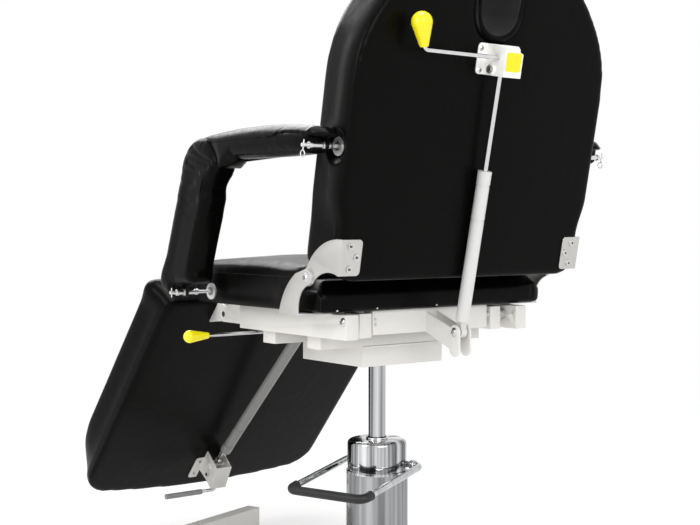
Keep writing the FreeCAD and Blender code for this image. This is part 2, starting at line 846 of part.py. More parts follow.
def seat_profile(share, draw_share, crown_share):
    """Section of the seat cushion at a share of its half width."""
    x = seat_half * share
    draw = seat_draw * draw_share
    front = seat_front + draw
    shelf_y = seat_shelf_y - draw / 2
    rear = seat_rear - draw / 2
    top = seat_edge_top - draw
    shelf = seat_shelf_top - draw / 2
    low = seat_low
    turn = seat_round * (1 - SLANT)
    roll = seat_roll_round
    points = [vec(x, front + seat_tuck, low),
              (vec(x, front + seat_tuck / 4, (low + top - seat_round) / 2),
               vec(x, front, top - seat_round)),
              (vec(x, front + turn, top - turn), vec(x, front + seat_round, top)),
              (vec(x, (front + shelf_y) / 2, top + seat_crown * crown_share),
               vec(x, shelf_y - seat_round, top)),
              (vec(x, shelf_y - turn, top - turn), vec(x, shelf_y, top - seat_round)),
              vec(x, shelf_y, shelf), vec(x, rear - roll, shelf),
              (vec(x, rear - roll / 4, shelf - roll / 2), vec(x, rear, (shelf + low) / 2)),
              vec(x, rear - seat_tuck / 2, low)]
    return outline(points)


def seat():
    board = block(-seat_board_half, seat_board_half, seat_board_front, seat_board_rear, board_low,
                  board_top)
    keep("seat_board", board)
    half_shares = [(1.0, 1.0, 0.05), (0.985, 0.45, 0.15), (0.955, 0.12, 0.3), (0.9, 0.0, 0.5),
                   (0.5, 0.0, 0.9)]
    shares = half_shares + [(-place, draw, crown) for place, draw, crown in reversed(half_shares)]
    cushion = loft([seat_profile(*entry) for entry in shares]).cut(board)
    bracket = rod_bracket(seat_rod_y - seat_bracket_half, seat_rod_y + seat_bracket_half,
                          board_top, seat_rod_z + rod_bracket_half)
    hole = across(rod_bracket_x, seat_half + overrun, seat_rod_y, seat_rod_z, rod_radius + seat_gap)
    for shape in both_sides(bracket.fuse(hole)):
        cushion = cushion.cut(shape)
    keep("seat_cushion", cushion)
    bar = armrest_rod(seat_half + seat_gap, seat_rod_y, seat_rod_z)
    cotter = cross_pin(seat_rod_y, seat_rod_z)
    keep("seat_rods", group(both_sides(bar) + both_sides(bracket) + both_sides(cotter)))


def rod_bracket(y0, y1, z0, z1):
    """Plate inside a cushion that holds an armrest's rod."""
    return block(rod_bracket_x - rod_bracket_thick, rod_bracket_x, y0, y1, z0, z1)


def armrest_rod(disc, y, z):
    """Rod that carries an armrest, with the disc at its root and a hole for its pin."""
    bar = across(rod_bracket_x, rod_end, y, z, rod_radius)
    plate = across(disc, disc + rod_disc_thick, y, z, rod_disc_radius)
    hole = rod(vec(pin_x, y, z - rod_disc_radius), vec(pin_x, y, z + rod_disc_radius),
               lynch_radius + run_gap)
    return fuse([bar, plate]).cut(hole)


def cross_pin(y, z):
    half = lynch_length / 2
    return rod(vec(pin_x, y, z - half), vec(pin_x, y, z + half), lynch_radius)


# Backrest: built upright with X across, Y towards the rear and Z up the back

def back_outline(n, inset):
    half = back_half - inset
    low = back_low + inset
    turn = max(back_corner - inset, back_corner / 4)
    cut = turn * (1 - SLANT)
    rise = back_arch - inset

    def arch(angle):
        return vec(half * cos(radians(angle)), n, back_shoulder + rise * sin(radians(angle)))

    step = 180 / (2 * arch_arcs)
    arcs = [(arch(step * (2 * i + 1)), arch(step * (2 * i + 2))) for i in range(arch_arcs)]
    points = [vec(-half + turn, n, low), vec(half - turn, n, low),
              (vec(half - cut, n, low + cut), vec(half, n, low + turn)), arch(0)]
    points += arcs + [vec(-half, n, low + turn),
              (vec(-half + cut, n, low + cut), vec(-half + turn, n, low))]
    return outline(points)


def face_slot(margin, n0, n1):
    """Round-ended prism for the face hole and its lining."""
    half = hole_half + margin
    low = hole_low - margin
    high = hole_high + margin
    points = [vec(-half, n0, low + half), (vec(0, n0, low), vec(half, n0, low + half)),
              vec(half, n0, high - half), (vec(0, n0, high), vec(-half, n0, high - half))]
    return sheet(points, Y_AXIS * (n1 - n0))


def backrest():
    board_face = Part.Face(back_outline(back_board_front, back_board_inset))
    board = board_face.extrude(Y_AXIS * back_board_thick)
    edge = back_edge_front
    deep_shares = [(1.0, 0.0), (0.66, 0.06), (0.34, 0.2), (0.14, 0.45), (0.0, 0.85)]
    rise_shares = [(0.45, 2.6), (0.8, 4.4), (1.0, 6.0)]
    wires = [back_outline(back_board_front, 0)]
    wires += [back_outline(edge + back_round * deep, back_corner * inset)
              for deep, inset in deep_shares]
    wires += [back_outline(edge - back_crown * rise, back_corner * inset)
              for rise, inset in rise_shares]
    front = edge - back_crown - overrun
    hole = face_slot(lining_wall, front, back_rear + overrun)
    lining = face_slot(lining_wall, edge, back_rear + lining_proud)
    lining = lining.cut(face_slot(0, front, back_rear + lining_proud + overrun))
    board = board.cut(hole)
    screws = backrest_screws()
    for screw in screws:
        board = board.cut(screw)
    bracket = rod_bracket(back_rod_n - rod_bracket_half, back_board_front,
                          back_rod_v - rod_bracket_half, back_rod_v + rod_bracket_half)
    rod_hole = across(rod_bracket_x, back_half + overrun, back_rod_n, back_rod_v,
                      rod_radius + seat_gap)
    cushion = loft(wires).cut(hole)
    for shape in both_sides(bracket.fuse(rod_hole)):
        cushion = cushion.cut(shape)
    keep("backrest_board", leaned(board))
    keep("backrest_cushion", leaned(cushion))
    keep("face_hole_lining", leaned(lining))
    keep("backrest_screws", leaned(group(screws)))
    keep("upper_hinge_brackets", leaned(group(both_sides(upper_bracket()))))
    bar = armrest_rod(bracket_x, back_rod_n, back_rod_v)
    keep("back_rods", leaned(group(both_sides(bar) + both_sides(bracket) + both_sides(lynch_pin()))))
    keep("release_bracket", leaned(release_bracket()))


def flange_screws():
    """Places (x, v, n) of the left hinge flange's screws."""
    flange_shares = [(0.48, 0.82), (0.8, 0.51), (0.52, 0.19)]
    high = bracket_flange_high - bracket_flange_low
    return [(washer_x - bracket_flange * in_share, bracket_flange_low + high * up_share,
             back_rear + bracket_thick) for in_share, up_share in flange_shares]


def release_screws():
    """Places (x, v, n) of the screws in the release bracket's left flange."""
    flange_shares = [(0.65, 0.82), (0.56, 0.12)]
    high = release_high - release_low
    return [(release_half + release_flange * out_share, release_low + high * up_share,
             back_rear + release_sheet) for out_share, up_share in flange_shares]


def backrest_screws():
    screws = [bolt(vec(x, n, v), Y_AXIS, screw_head, screw_rise, screw_radius, screw_length)
              for x, v, n in flange_screws() + release_screws()]
    return screws + [mirrored(screw) for screw in screws]


def screw_holes(places):
    return [rod(vec(x, n - screw_length, v), vec(x, n + overrun, v), screw_radius + run_gap)
            for x, v, n in places]


def upper_bracket():
    """Side plate of the hinge with a flange behind the backrest."""
    rear = back_rear + bracket_thick
    high = bracket_flange_high
    low = bracket_flange_low
    eye = hinge_eye
    eye_shares = [(0.94, -0.34), (0.0, -1.0), (-1.0, 0.0), (-0.78, 0.707), (-0.3, 1.75)]
    low_arc_shares = (0.5, 0.82)
    high_arc_shares = (0.42, 0.82)
    nose = [vec(0, eye * out, eye * up) for out, up in eye_shares]
    points = [vec(0, rear, low),
              (vec(0, rear * low_arc_shares[0], low * low_arc_shares[1]), nose[0]),
              (nose[1], nose[2]), (nose[3], nose[4]),
              (vec(0, rear * high_arc_shares[0], high * high_arc_shares[1]), vec(0, rear, high))]
    plate = moved(sheet(points, X_AXIS * bracket_thick), bracket_x, 0, 0)
    inner = washer_x - bracket_flange
    corner = bracket_corner
    cut = corner * (1 - SLANT)
    face = [vec(washer_x, back_rear, low), vec(inner + corner, back_rear, low),
            (vec(inner + cut, back_rear, low + cut), vec(inner, back_rear, low + corner)),
            vec(inner, back_rear, high - corner),
            (vec(inner + cut, back_rear, high - cut), vec(inner + corner, back_rear, high)),
            vec(washer_x, back_rear, high)]
    shape = fuse([plate, sheet(face, Y_AXIS * bracket_thick)])
    shape = shape.cut(across(back_half, washer_x + overrun, 0, 0, hinge_bolt_radius + run_gap))
    for hole in screw_holes(flange_screws()):
        shape = shape.cut(hole)
    return shape


def lynch_pin():
    """Pin through the rod's end with a ring that hangs from it."""
    low = back_rod_v - lynch_length / 2 - lynch_ring
    ring = Part.makeTorus(lynch_ring, lynch_wire, vec(pin_x, back_rod_n, low), X_AXIS)
    return fuse([cross_pin(back_rod_n, back_rod_v), ring])


def release_bracket():
    """Folded sheet over the back spring's upper pivot, with the pivot bolt and its eye."""
    low = release_low
    high = release_high
    rear = release_rear
    half = release_half
    inner = rear - release_sheet
    slope = (high - low) * release_slope_share
    cheek = block(half - release_sheet, half, back_rear, rear, low, high)
    web = sheet([vec(-half, inner, low), vec(half, inner, low), vec(half, inner, high),
                 vec(slope - half, inner, high), vec(-half, inner, high - slope)],
                Y_AXIS * release_sheet)
    corner = sheet([vec(-half - overrun, back_rear + half, high + overrun),
                    vec(-half - overrun, rear + overrun, high + overrun),
                    vec(-half - overrun, rear + overrun, high - slope)], X_AXIS * (half / 2))
    shape = fuse(both_sides(cheek) + both_sides(release_wing()) + [web]).cut(corner)
    shape = shape.cut(across(-half - overrun, half + overrun, back_lever_n, back_lever_v,
                             lever_radius + run_gap))
    for hole in screw_holes(release_screws()):
        shape = shape.cut(hole).cut(mirrored(hole))
    pivot = across(-half, half, back_eye_n, back_eye_v, spring_pin_radius)
    nut = across(half, half + frame_head_rise, back_eye_n, back_eye_v, frame_head_radius)
    eye = across(-tongue_half, tongue_half, back_eye_n, back_eye_v, release_eye)
    return fuse([shape, pivot, nut, eye])


def release_wing():
    """Flange with rounded outer corners, on the rear of the backrest."""
    corner = bracket_corner
    cut = corner * (1 - SLANT)
    start = release_half - release_sheet
    end = release_half + release_flange
    n = back_rear
    low = release_low
    high = release_high
    points = [vec(start, n, low), vec(end - corner, n, low),
              (vec(end - cut, n, low + cut), vec(end, n, low + corner)), vec(end, n, high - corner),
              (vec(end - cut, n, high - cut), vec(end - corner, n, high)), vec(start, n, high)]
    return sheet(points, Y_AXIS * release_sheet)


def back_lever():
    lean = tan(radians(knob_lean))
    path = [vec(-release_half - lever_radius, back_lever_n, back_lever_v),
            vec(back_lever_end, back_lever_n, back_lever_v),
            vec(back_lever_end + back_lever_rise * lean, back_lever_n, back_lever_v + back_lever_rise)]
    bar = bent_rod(path, lever_bend, lever_radius)
    cam = across(-cam_radius, cam_radius, back_lever_n, back_lever_v, cam_radius)
    foot = back_lever_rise - knob_socket
    knob = turned(pear(knob_length, knob_neck, knob_radius), Y_AXIS, knob_lean)
    knob = moved(knob, back_lever_end + foot * lean, back_lever_n, back_lever_v + foot)
    keep("back_lever_rod", leaned(fuse([bar, cam])))
    keep("back_lever_knob", leaned(knob.cut(bar)))


# Hinge between the backrest and the seat

def hinge_claw():
    """Curved plate that rises from the rail to the backrest's hinge, with a foot strip under it."""
    eye = hinge_eye
    y = hinge_y
    z = hinge_z
    rise = z - board_low
    eye_shares = [(-0.3, 0.955), (0.8, 0.6), (0.6, -0.8)]
    front_shares = (0.4, 0.55)
    neck_shares = (0.2, 0.45)
    rear_shares = (0.1, 0.5)
    top = [vec(0, y + eye * out, z + eye * up) for out, up in eye_shares]
    front = vec(0, claw_front + claw_bend * front_shares[0], board_low + rise * front_shares[1])
    neck = vec(0, claw_rear - claw_bend * neck_shares[0], z + eye * neck_shares[1])
    rear = vec(0, claw_rear + claw_bend * rear_shares[0], board_low + rise * rear_shares[1])
    foot = vec(0, claw_rear, outer_rail_depth)
    points = [foot, vec(0, claw_front, outer_rail_depth), (front, neck), top[0], (top[1], top[2]),
              (rear, foot)]
    plate = moved(sheet(points, X_AXIS * plate_thick), claw_x, 0, 0)
    strip = block(outer_rail_inside, claw_outer, claw_front, claw_rear, outer_rail_depth, board_low)
    hole = across(claw_x - overrun, claw_outer + overrun, y, z, hinge_bolt_radius + run_gap)
    return fuse([plate, strip]).cut(hole)


def hinges():
    keep("hinge_claws", group(both_sides(hinge_claw())))
    pivot = bolt(vec(claw_outer, hinge_y, hinge_z), X_AXIS, hinge_head_radius, hinge_head_rise,
                 hinge_bolt_radius, claw_outer - bracket_x)
    washer = tube(hinge_eye, hinge_bolt_radius + run_gap, washer_x, claw_x)
    washer = moved(turned(washer, Y_AXIS, 90), 0, hinge_y, hinge_z)
    keep("hinge_bolts", group(both_sides(pivot) + both_sides(washer)))


# Armrests

def post_point(x, along, front):
    """Point beside the line from the seat rod to the elbow."""
    line = (elbow - seat_rod_line).normalize()
    point = seat_rod_line + line * along + vec(0, -line.z, line.y) * front
    return vec(x, point.y, point.z)


def post_outline(x, inset):
    """Section of the post pad: a leg with a toe at its foot and a round drum at the elbow."""
    length = (elbow - seat_rod_line).Length
    shoulder = length - drum_radius
    radius = drum_radius - inset
    slant = radius * SLANT
    back_arc_shares = [(0.826, 0.564), (0.363, 0.932)]
    back_arc = [(length + radius * up, -radius * out) for up, out in back_arc_shares]
    front = post_front - inset
    rear = post_rear - inset
    toe = post_toe - inset
    low = inset - post_toe_drop
    cut = post_cut + inset
    waist_shares = (1.06, 0.08)
    heel_shares = [(0.77, 1.0), (0.56, 0.92), (0.4, 0.7)]
    step_share = 0.16
    toe_shares = [(0.0, 0.3), (0.0, 0.66), (0.1, 0.92), (0.4, 1.0)]
    heel = [(cut + rear * up, -rear * out) for up, out in heel_shares]
    tip = [(low + toe * up, toe * out) for up, out in toe_shares]
    places = [(length, radius), ((length + slant, slant), (length + radius, 0)),
              (back_arc[0], back_arc[1]),
              ((length - radius * waist_shares[1], -rear * waist_shares[0]), (shoulder, -rear)),
              heel[0], (heel[1], heel[2]), (cut, toe * step_share), tip[0], tip[1],
              (tip[2], tip[3]), (toe, front), (shoulder, front)]
    points = []
    for place in places:
        if isinstance(place[0], tuple):
            points.append(tuple(post_point(x, *spot) for spot in place))
        else:
            points.append(post_point(x, *place))
    return outline(points)


def arm_outline(x, inset):
    """Section of the arm pad: hollow front end round the drum, crowned top, thin rear lip."""
    tip_share = 0.45
    low_draw_share = 0.7
    lip_draw_share = 0.2
    lip_shares = (0.5, 0.4, 0.3)
    haunch_share = 0.7
    radius = drum_radius + seat_gap
    crown = arm_crown * (1 - inset / arm_draw)
    top = arm_side_top + crown
    tip_rise = min((top - crown * tip_share - elbow.z) / radius, sin(radians(arm_tip_angle)))
    first = radians(arm_haunch_angle)
    last = asin(tip_rise)

    def rim(angle):
        return vec(x, elbow.y + radius * cos(angle), elbow.z + radius * sin(angle))

    low = arm_low + inset * low_draw_share
    lip = arm_lip_low + inset * lip_draw_share
    rear = arm_rear - inset
    face = back_rod_line.y - rod_tube_radius - seat_gap
    turn = arm_block_round
    rear_top = top - arm_rear_drop
    haunch = rim(first)
    middle = (rim(last).y + rear) / 2 - drum_radius
    points = [haunch, (rim((first + last) / 2), rim(last)),
              (vec(x, middle, top), vec(x, rear - arm_crown_end, rear_top)),
              (vec(x, rear - turn, (rear_top + lip) / 2 + turn * lip_shares[0]),
               vec(x, rear, lip + turn * lip_shares[1])),
              vec(x, rear - turn * lip_shares[2], lip), vec(x, face, lip),
              vec(x, face, low + turn), vec(x, face - turn, low),
              vec(x, haunch.y + drum_radius * haunch_share, low)]
    return outline(points)


def pad_sections(section):
    """Loft of an armrest pad through sections across its width, drawn in at both sides."""
    width = arm_outer - arm_inner
    half_shares = [(0.0, 1.0), (0.05, 0.42), (0.17, 0.08), (0.32, 0.0)]
    shares = half_shares + [(1 - place, inset) for place, inset in reversed(half_shares)]
    return loft([section(arm_inner + width * place, arm_draw * inset) for place, inset in shares])


def drum_slot():
    """Space in the post's drum through which the arm's core swings."""
    x0 = arm_core_x - wall_gap
    x1 = arm_core_x + core_thick + wall_gap
    rest = atan2(core_knee.z - elbow.z, core_knee.y - elbow.y)
    half = core_half_depth + wall_gap

    def ray(angle, length):
        return elbow + vec(0, cos(angle), sin(angle)) * length

    far = drum_radius * 2
    swing = radians(recline_limit)
    points = [elbow, ray(rest, far), (ray(rest + swing / 2, far), ray(rest + swing, far))]
    wedge = moved(sheet(points, X_AXIS * (x1 - x0)), x0, 0, 0)
    bars = [slot_bar(elbow, ray(angle, far), half, x0, x1) for angle in (rest, rest + swing)]
    return fuse([wedge, across(x0, x1, elbow.y, elbow.z, core_hub + wall_gap)] + bars)


def rod_tube(line):
    """Tube that turns on an armrest's rod, with a collar at each end."""
    start = arm_inner + tube_inset
    end = arm_outer - tube_inset
    pieces = [across(start, end, line.y, line.z, rod_tube_radius)]
    pieces += [across(x, x + collar_width, line.y, line.z, collar_radius)
               for x in (start, end - collar_width)]
    return pieces


def rod_bore(line):
    return across(arm_inner, arm_outer, line.y, line.z, rod_radius + rod_play)


def rod_pocket(line):
    return across(arm_inner - overrun, arm_outer + overrun, line.y, line.z, collar_radius + seat_gap)


def post_core():
    """Flat bar from the rod tube to the elbow, with the elbow's pin."""
    x0 = post_core_x
    x1 = x0 + core_thick
    bar = slot_bar(seat_rod_line, elbow, core_half_depth, x0, x1)
    hub = across(x0, x1, elbow.y, elbow.z, core_hub)
    pin = across(arm_core_x - wall_gap, x1 + wall_gap, elbow.y, elbow.z, elbow_pin_radius)
    return fuse([bar, hub, pin] + rod_tube(seat_rod_line)).cut(rod_bore(seat_rod_line))


def arm_core():
    """Cranked flat bar from the elbow to the tube on the backrest's rod."""
    x0 = arm_core_x
    x1 = x0 + core_thick
    bars = [slot_bar(elbow, core_knee, core_half_depth, x0, x1),
            slot_bar(core_knee, back_rod_line, core_half_depth, x0, x1),
            across(x0, x1, elbow.y, elbow.z, core_hub)]
    shape = fuse(bars + rod_tube(back_rod_line)).cut(rod_bore(back_rod_line))
    return shape.cut(across(x0 - overrun, x1 + overrun, elbow.y, elbow.z,
                            elbow_pin_radius + run_gap))


def armrests():
    upright = post_core()
    flat = arm_core()
    post = pad_sections(post_outline).cut(drum_slot()).cut(upright).cut(rod_pocket(seat_rod_line))
    arm = pad_sections(arm_outline).cut(flat).cut(rod_pocket(back_rod_line))
    pieces = (("post_pad_", post), ("post_core_", upright), ("arm_pad_", arm), ("arm_core_", flat))
    for name, shape in pieces:
        keep(name + "left", shape)
        keep(name + "right", mirrored(shape))


# Gas springs that show

def spring_body(length, start):
    """Cylinder with a collar at its top and two shallow grooves, built along +Z."""
    rod_hole = spring_rod_radius + run_gap
    shell = tube(spring_body_radius, rod_hole, start, length)
    ring = tube(spring_cap_radius, rod_hole, length - spring_cap_height, length)
    shape = shell.fuse(ring)
    groove_shares = (1.0, 3.5)
    for share in groove_shares:
        high = length - spring_cap_height * share
        groove = tube(spring_cap_radius + overrun, spring_body_radius - spring_groove,
                      high - spring_groove, high + spring_groove)
        shape = shape.cut(groove)
    return shape


def back_spring():
    reach = (back_eye - back_pin).Length
    body = spring_body(back_body_length, body_start)
    body = fuse([body, spring_eye(spring_eye_radius, body_start)]).cut(eye_hole(0, run_gap))
    keep("back_spring_body", aimed(body, back_pin, back_eye))
    bar = rod(vec(0, 0, back_rod_tail), vec(0, 0, reach - release_eye - eye_gap), spring_rod_radius)
    keep("back_spring_rod", aimed(bar, back_pin, back_eye))


def leg_spring():
    reach = (leg_pin - leg_eye).Length
    tail = rod(vec(0, 0, 0), vec(0, 0, leg_rod_tail), spring_rod_radius)
    low = fuse([tail, spring_eye(spring_eye_radius, body_start)]).cut(eye_hole(0, run_gap))
    keep("leg_spring_rod", aimed(low, leg_eye, leg_pin))
    top = reach - body_start
    shell = turned(spring_body(top - leg_body_low, 0), X_AXIS, 180)
    eye = across(-tongue_half, tongue_half, 0, reach, spring_eye_radius)
    neck = block(-tongue_half, tongue_half, -tongue_half, tongue_half, top, reach)
    shape = fuse([moved(shell, 0, 0, top), eye, neck]).cut(eye_hole(reach, leg_eye_play))
    keep("leg_spring_body", aimed(shape, leg_eye, leg_pin))


# Legrest: built flat with X across, Y as -s and Z as n

def leg_outline(n, inset):
    half = leg_half - inset
    top = leg_top + inset
    turn = max(leg_top_corner - inset, leg_top_corner / 4)
    cut = turn * (1 - SLANT)
    side = leg_bottom_side - inset
    low = leg_bottom - inset
    corner = max(leg_corner - inset / 2, leg_corner / 3)
    slant = corner * (1 - SLANT)
    points = [vec(-half + turn, -top, n), vec(half - turn, -top, n),
              (vec(half - cut, -top - cut, n), vec(half, -top - turn, n)),
              vec(half, -side + corner, n),
              (vec(half - slant, -side + slant, n), vec(half - corner, -side, n)),
              (vec(0, -low, n), vec(-half + corner, -side, n)),
              (vec(-half + slant, -side + slant, n), vec(-half, -side + corner, n)),
              vec(-half, -top - turn, n),
              (vec(-half + cut, -top - cut, n), vec(-half + turn, -top, n))]
    return outline(points)


def legrest():
    board = Part.Face(leg_outline(leg_rear, back_board_inset)).extrude(Z_AXIS * board_thick)
    edge = leg_edge_front
    deep_shares = [(1.0, 0.0), (0.6, 0.1), (0.28, 0.34), (0.1, 0.68), (0.0, 1.28)]
    rise_shares = [(0.45, 3.4), (0.8, 6.0), (1.0, 8.5)]
    wires = [leg_outline(leg_rear + board_thick, 0)]
    wires += [leg_outline(edge - leg_round * deep, leg_top_corner * inset)
              for deep, inset in deep_shares]
    wires += [leg_outline(edge + leg_crown * rise, leg_top_corner * inset)
              for rise, inset in rise_shares]
    screws = [bolt(vec(x, -s, leg_rear - leg_bracket_sheet), -Z_AXIS, screw_head, screw_rise,
                   screw_radius, screw_length) for x, s in leg_screw_places()]
    screws += [mirrored(screw) for screw in screws]
    for screw in screws:
        board = board.cut(screw)
    keep("legrest_board", drooped(board))
    keep("legrest_cushion", drooped(loft(wires)))
    keep("legrest_ears", drooped(group(both_sides(legrest_ear()))))
    keep("legrest_bracket", drooped(legrest_bracket()))
    keep("legrest_screws", drooped(group(screws)))


def leg_screw_places():
    """Places (x, s) of the screws on the left of the legrest's rear face."""
    x = leg_bracket_half + leg_flange / 2
    tall = leg_bracket_foot - leg_bracket_top
    bracket_shares = (0.36, 0.82)
    ear_shares = (0.3, 0.8)
    places = [(x, leg_bracket_top + tall * share) for share in bracket_shares]
    return places + [(ear_outer - ear_foot * 0.6, ear_length * share) for share in ear_shares]


def flat_holes(shape):
    """Cut the screw holes of the legrest's rear face out of a plate."""
    for x, s in leg_screw_places():
        hole = rod(vec(x, -s, leg_rear - leg_bracket_sheet - overrun), vec(x, -s, leg_rear + overrun),
                   screw_radius + run_gap)
        shape = shape.cut(hole).cut(mirrored(hole))
    return shape


def legrest_ear():
    nose_shares = (0.85, 0.53)
    inner = ear_outer - ear_thick
    r = ear_radius
    face = leg_rear
    low = face - leg_bracket_sheet
    points = [vec(0, r, 0), vec(0, r / 8, face), vec(0, -ear_length, face), vec(0, -ear_length, low),
              vec(0, -r * nose_shares[0], -r * nose_shares[1]), (vec(0, 0, -r), vec(0, r, 0))]
    plate = moved(sheet(points, X_AXIS * ear_thick), inner, 0, 0)
    foot = block(ear_outer - ear_foot, ear_outer, -ear_length, 0, low, face)
    hole = across(inner - overrun, ear_outer + overrun, 0, 0, legrest_pin_radius + run_gap)
    return flat_holes(fuse([plate, foot]).cut(hole))


def legrest_bracket():
    """Folded sheet that holds the legrest spring's low pivot and the legrest lever."""
    t = leg_bracket_sheet
    half = leg_bracket_half
    top = -leg_bracket_top
    low = -leg_bracket_low
    face = leg_rear
    cheek = sheet([vec(0, top, face), vec(0, top, leg_web_top), vec(0, low, leg_web_low),
                   vec(0, low, leg_lever_n), vec(0, low - leg_cheek_toe, face)], X_AXIS * t)
    web = sheet([vec(0, top, leg_web_top), vec(0, low, leg_web_low), vec(0, low, leg_web_low + t),
                 vec(0, top, leg_web_top + t)], X_AXIS * (half * 2))
    cheeks = both_sides(moved(cheek, half - t, 0, 0))
    shape = fuse(cheeks + both_sides(legrest_wing()) + [moved(web, -half, 0, 0)])
    shape = shape.cut(across(-half - overrun, half + overrun, -leg_lever_s, leg_lever_n,
                             leg_lever_radius + run_gap))
    pivot = across(-half, half, -leg_eye_s, leg_eye_n, spring_pin_radius)
    nut = across(half, half + frame_head_rise, -leg_eye_s, leg_eye_n, frame_head_radius)
    return fuse([flat_holes(shape), pivot, nut])


def legrest_wing():
    """Flange with a rounded outer edge, on the rear of the legrest."""
    corner = bracket_corner
    cut = corner * (1 - SLANT)
    n = leg_rear - leg_bracket_sheet
    start = leg_bracket_half - leg_bracket_sheet
    end = leg_bracket_half + leg_flange
    top = -leg_bracket_top - leg_flange
    foot = -leg_bracket_foot
    points = [vec(start, top, n), vec(end - corner, top, n),
              (vec(end - cut, top - cut, n), vec(end, top - corner, n)), vec(end, foot + corner, n),
              (vec(end - cut, foot + cut, n), vec(end - corner, foot, n)), vec(start, foot, n)]
    return sheet(points, Z_AXIS * leg_bracket_sheet)


def leg_lever():
    """Cranked lever below the legrest, with a plastic grip on its handle."""
    reach = leg_bracket_half + leg_lever_radius
    pivot = across(-reach, reach, -leg_lever_s, leg_lever_n, leg_lever_radius)
    path = [vec(0, -leg_lever_s, leg_lever_n), vec(0, -grip_s, grip_n), vec(grip_end, -grip_s, grip_n)]
    bar = fuse([pivot, bent_rod(path, lever_bend, leg_lever_radius)])
    grip = across(grip_start, grip_end + grip_radius, -grip_s, grip_n, grip_radius)
    keep("legrest_lever", drooped(bar))
    keep("legrest_lever_grip", drooped(grip.cut(bar)))


def write_nodes():
    for name, shape in nodes.items():
        shape.exportStep(os.path.join("parts", name + ".step"))


base()
pump()
pedal()
subframe()
tilt_lever()
tilt_spring()
seat_frame()
seat()
backrest()
hinges()
back_lever()
back_spring()
armrests()
legrest()
leg_spring()
leg_lever()
write_nodes()
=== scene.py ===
"""Looks of the podiatry chair: upholstery, finishes, small parts, light and camera.

Lengths are metres in the row frame. A function named after a part of the chair takes millimetres
in that part's own axes, the ones that the CAD source uses, and gives a point in the row frame.
"""

import json
from math import cos, pi, radians, sin

import bmesh
import bpy
import numpy as np
from mathutils import Matrix, Vector, noise
from mathutils.bvhtree import BVHTree

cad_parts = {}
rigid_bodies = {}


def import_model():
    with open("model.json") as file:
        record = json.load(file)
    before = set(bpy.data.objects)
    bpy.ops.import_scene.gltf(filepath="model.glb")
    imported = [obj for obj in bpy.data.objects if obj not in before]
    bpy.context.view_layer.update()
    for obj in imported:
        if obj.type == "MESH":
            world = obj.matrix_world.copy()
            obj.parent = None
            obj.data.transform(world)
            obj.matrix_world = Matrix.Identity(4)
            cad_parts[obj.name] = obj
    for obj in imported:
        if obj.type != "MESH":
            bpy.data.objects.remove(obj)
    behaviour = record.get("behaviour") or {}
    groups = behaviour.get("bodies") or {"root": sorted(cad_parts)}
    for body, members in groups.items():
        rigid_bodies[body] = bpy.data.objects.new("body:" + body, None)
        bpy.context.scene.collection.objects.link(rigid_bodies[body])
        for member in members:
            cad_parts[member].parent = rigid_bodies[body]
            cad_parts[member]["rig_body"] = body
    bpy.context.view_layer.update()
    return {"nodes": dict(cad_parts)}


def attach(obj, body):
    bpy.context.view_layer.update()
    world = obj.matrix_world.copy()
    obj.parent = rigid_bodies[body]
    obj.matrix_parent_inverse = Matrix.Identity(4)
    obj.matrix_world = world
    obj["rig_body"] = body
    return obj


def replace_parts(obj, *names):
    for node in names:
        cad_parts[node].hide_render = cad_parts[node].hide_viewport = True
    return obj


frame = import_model()
nodes = frame["nodes"]

# Places that the CAD source gives, in millimetres and degrees
MM = 0.001
COLUMN = Vector((-19.7, 192.4, 0))
RAIL_HEIGHT = 555
BASE_TURN = 19
RECLINE = 11
DROOP = 49.2
HINGE = (183, 120)
LEG_HINGE = (-278, 21)
SEAT_ROD = (-188.5, 78)
BACK_ROD = (250.5, 45.5)
BACK_REAR = 84
BACK_HALF = 306
SHOULDER = 374
ARCH = 288
HOLE_LOW = 475
HOLE_HIGH = 618
LINING_HALF = 57
LINING_WALL = 12
LEG_HALF = 331
LEG_FOOT = 665
ARM_INNER = 323
ARM_OUTER = 377
ARM_MIDDLE = (ARM_INNER + ARM_OUTER) / 2
DRUM_RADIUS = 74
CAP_TOP = 320
HOLE_TURNS = (HOLE_LOW + LINING_HALF - LINING_WALL, HOLE_HIGH - LINING_HALF + LINING_WALL)

# Settings that several pieces share
MERGE = 0.01 * MM
FLAT_ANGLE = radians(0.5)
EDGE_ANGLE = radians(40)
SMOOTH_ANGLE = 35
HARD_ANGLE = 20
TINY = 1e-9
SIDES = ((1, "left"), (-1, "right"))


# Frames

def axes(origin, along, out):
    """Matrix from a part's own millimetres (across, along, out) to the row frame."""
    turn = Matrix((Vector((1, 0, 0)), Vector(along), Vector(out))).transposed().to_4x4()
    return Matrix.Translation(Vector(origin) * MM) @ turn @ Matrix.Scale(MM, 4)


def in_chair(y, z):
    return COLUMN + Vector((0, y, z + RAIL_HEIGHT))


CHAIR = axes(in_chair(0, 0), (0, 1, 0), (0, 0, 1))
BACK = axes(in_chair(*HINGE), (0, sin(radians(RECLINE)), cos(radians(RECLINE))),
            (0, cos(radians(RECLINE)), -sin(radians(RECLINE))))
LEG = axes(in_chair(*LEG_HINGE), (0, -cos(radians(DROOP)), -sin(radians(DROOP))),
           (0, -sin(radians(DROOP)), cos(radians(DROOP))))
BASE = (Matrix.Translation(COLUMN * MM) @ Matrix.Rotation(radians(BASE_TURN), 4, "Z")
        @ Matrix.Scale(MM, 4))
back_rod_line = CHAIR.inverted() @ (BACK @ Vector((0, *BACK_ROD)))
elbow = Vector((0, SEAT_ROD[0] + back_rod_line.y - HINGE[0],
                SEAT_ROD[1] + back_rod_line.z - HINGE[1]))


def own_points(points, part):
    """Rows of points in the row frame as rows in a part's own millimetres."""
    back = np.array(part.inverted())
    return points @ back[:3, :3].T + back[:3, 3]


# Shader maths

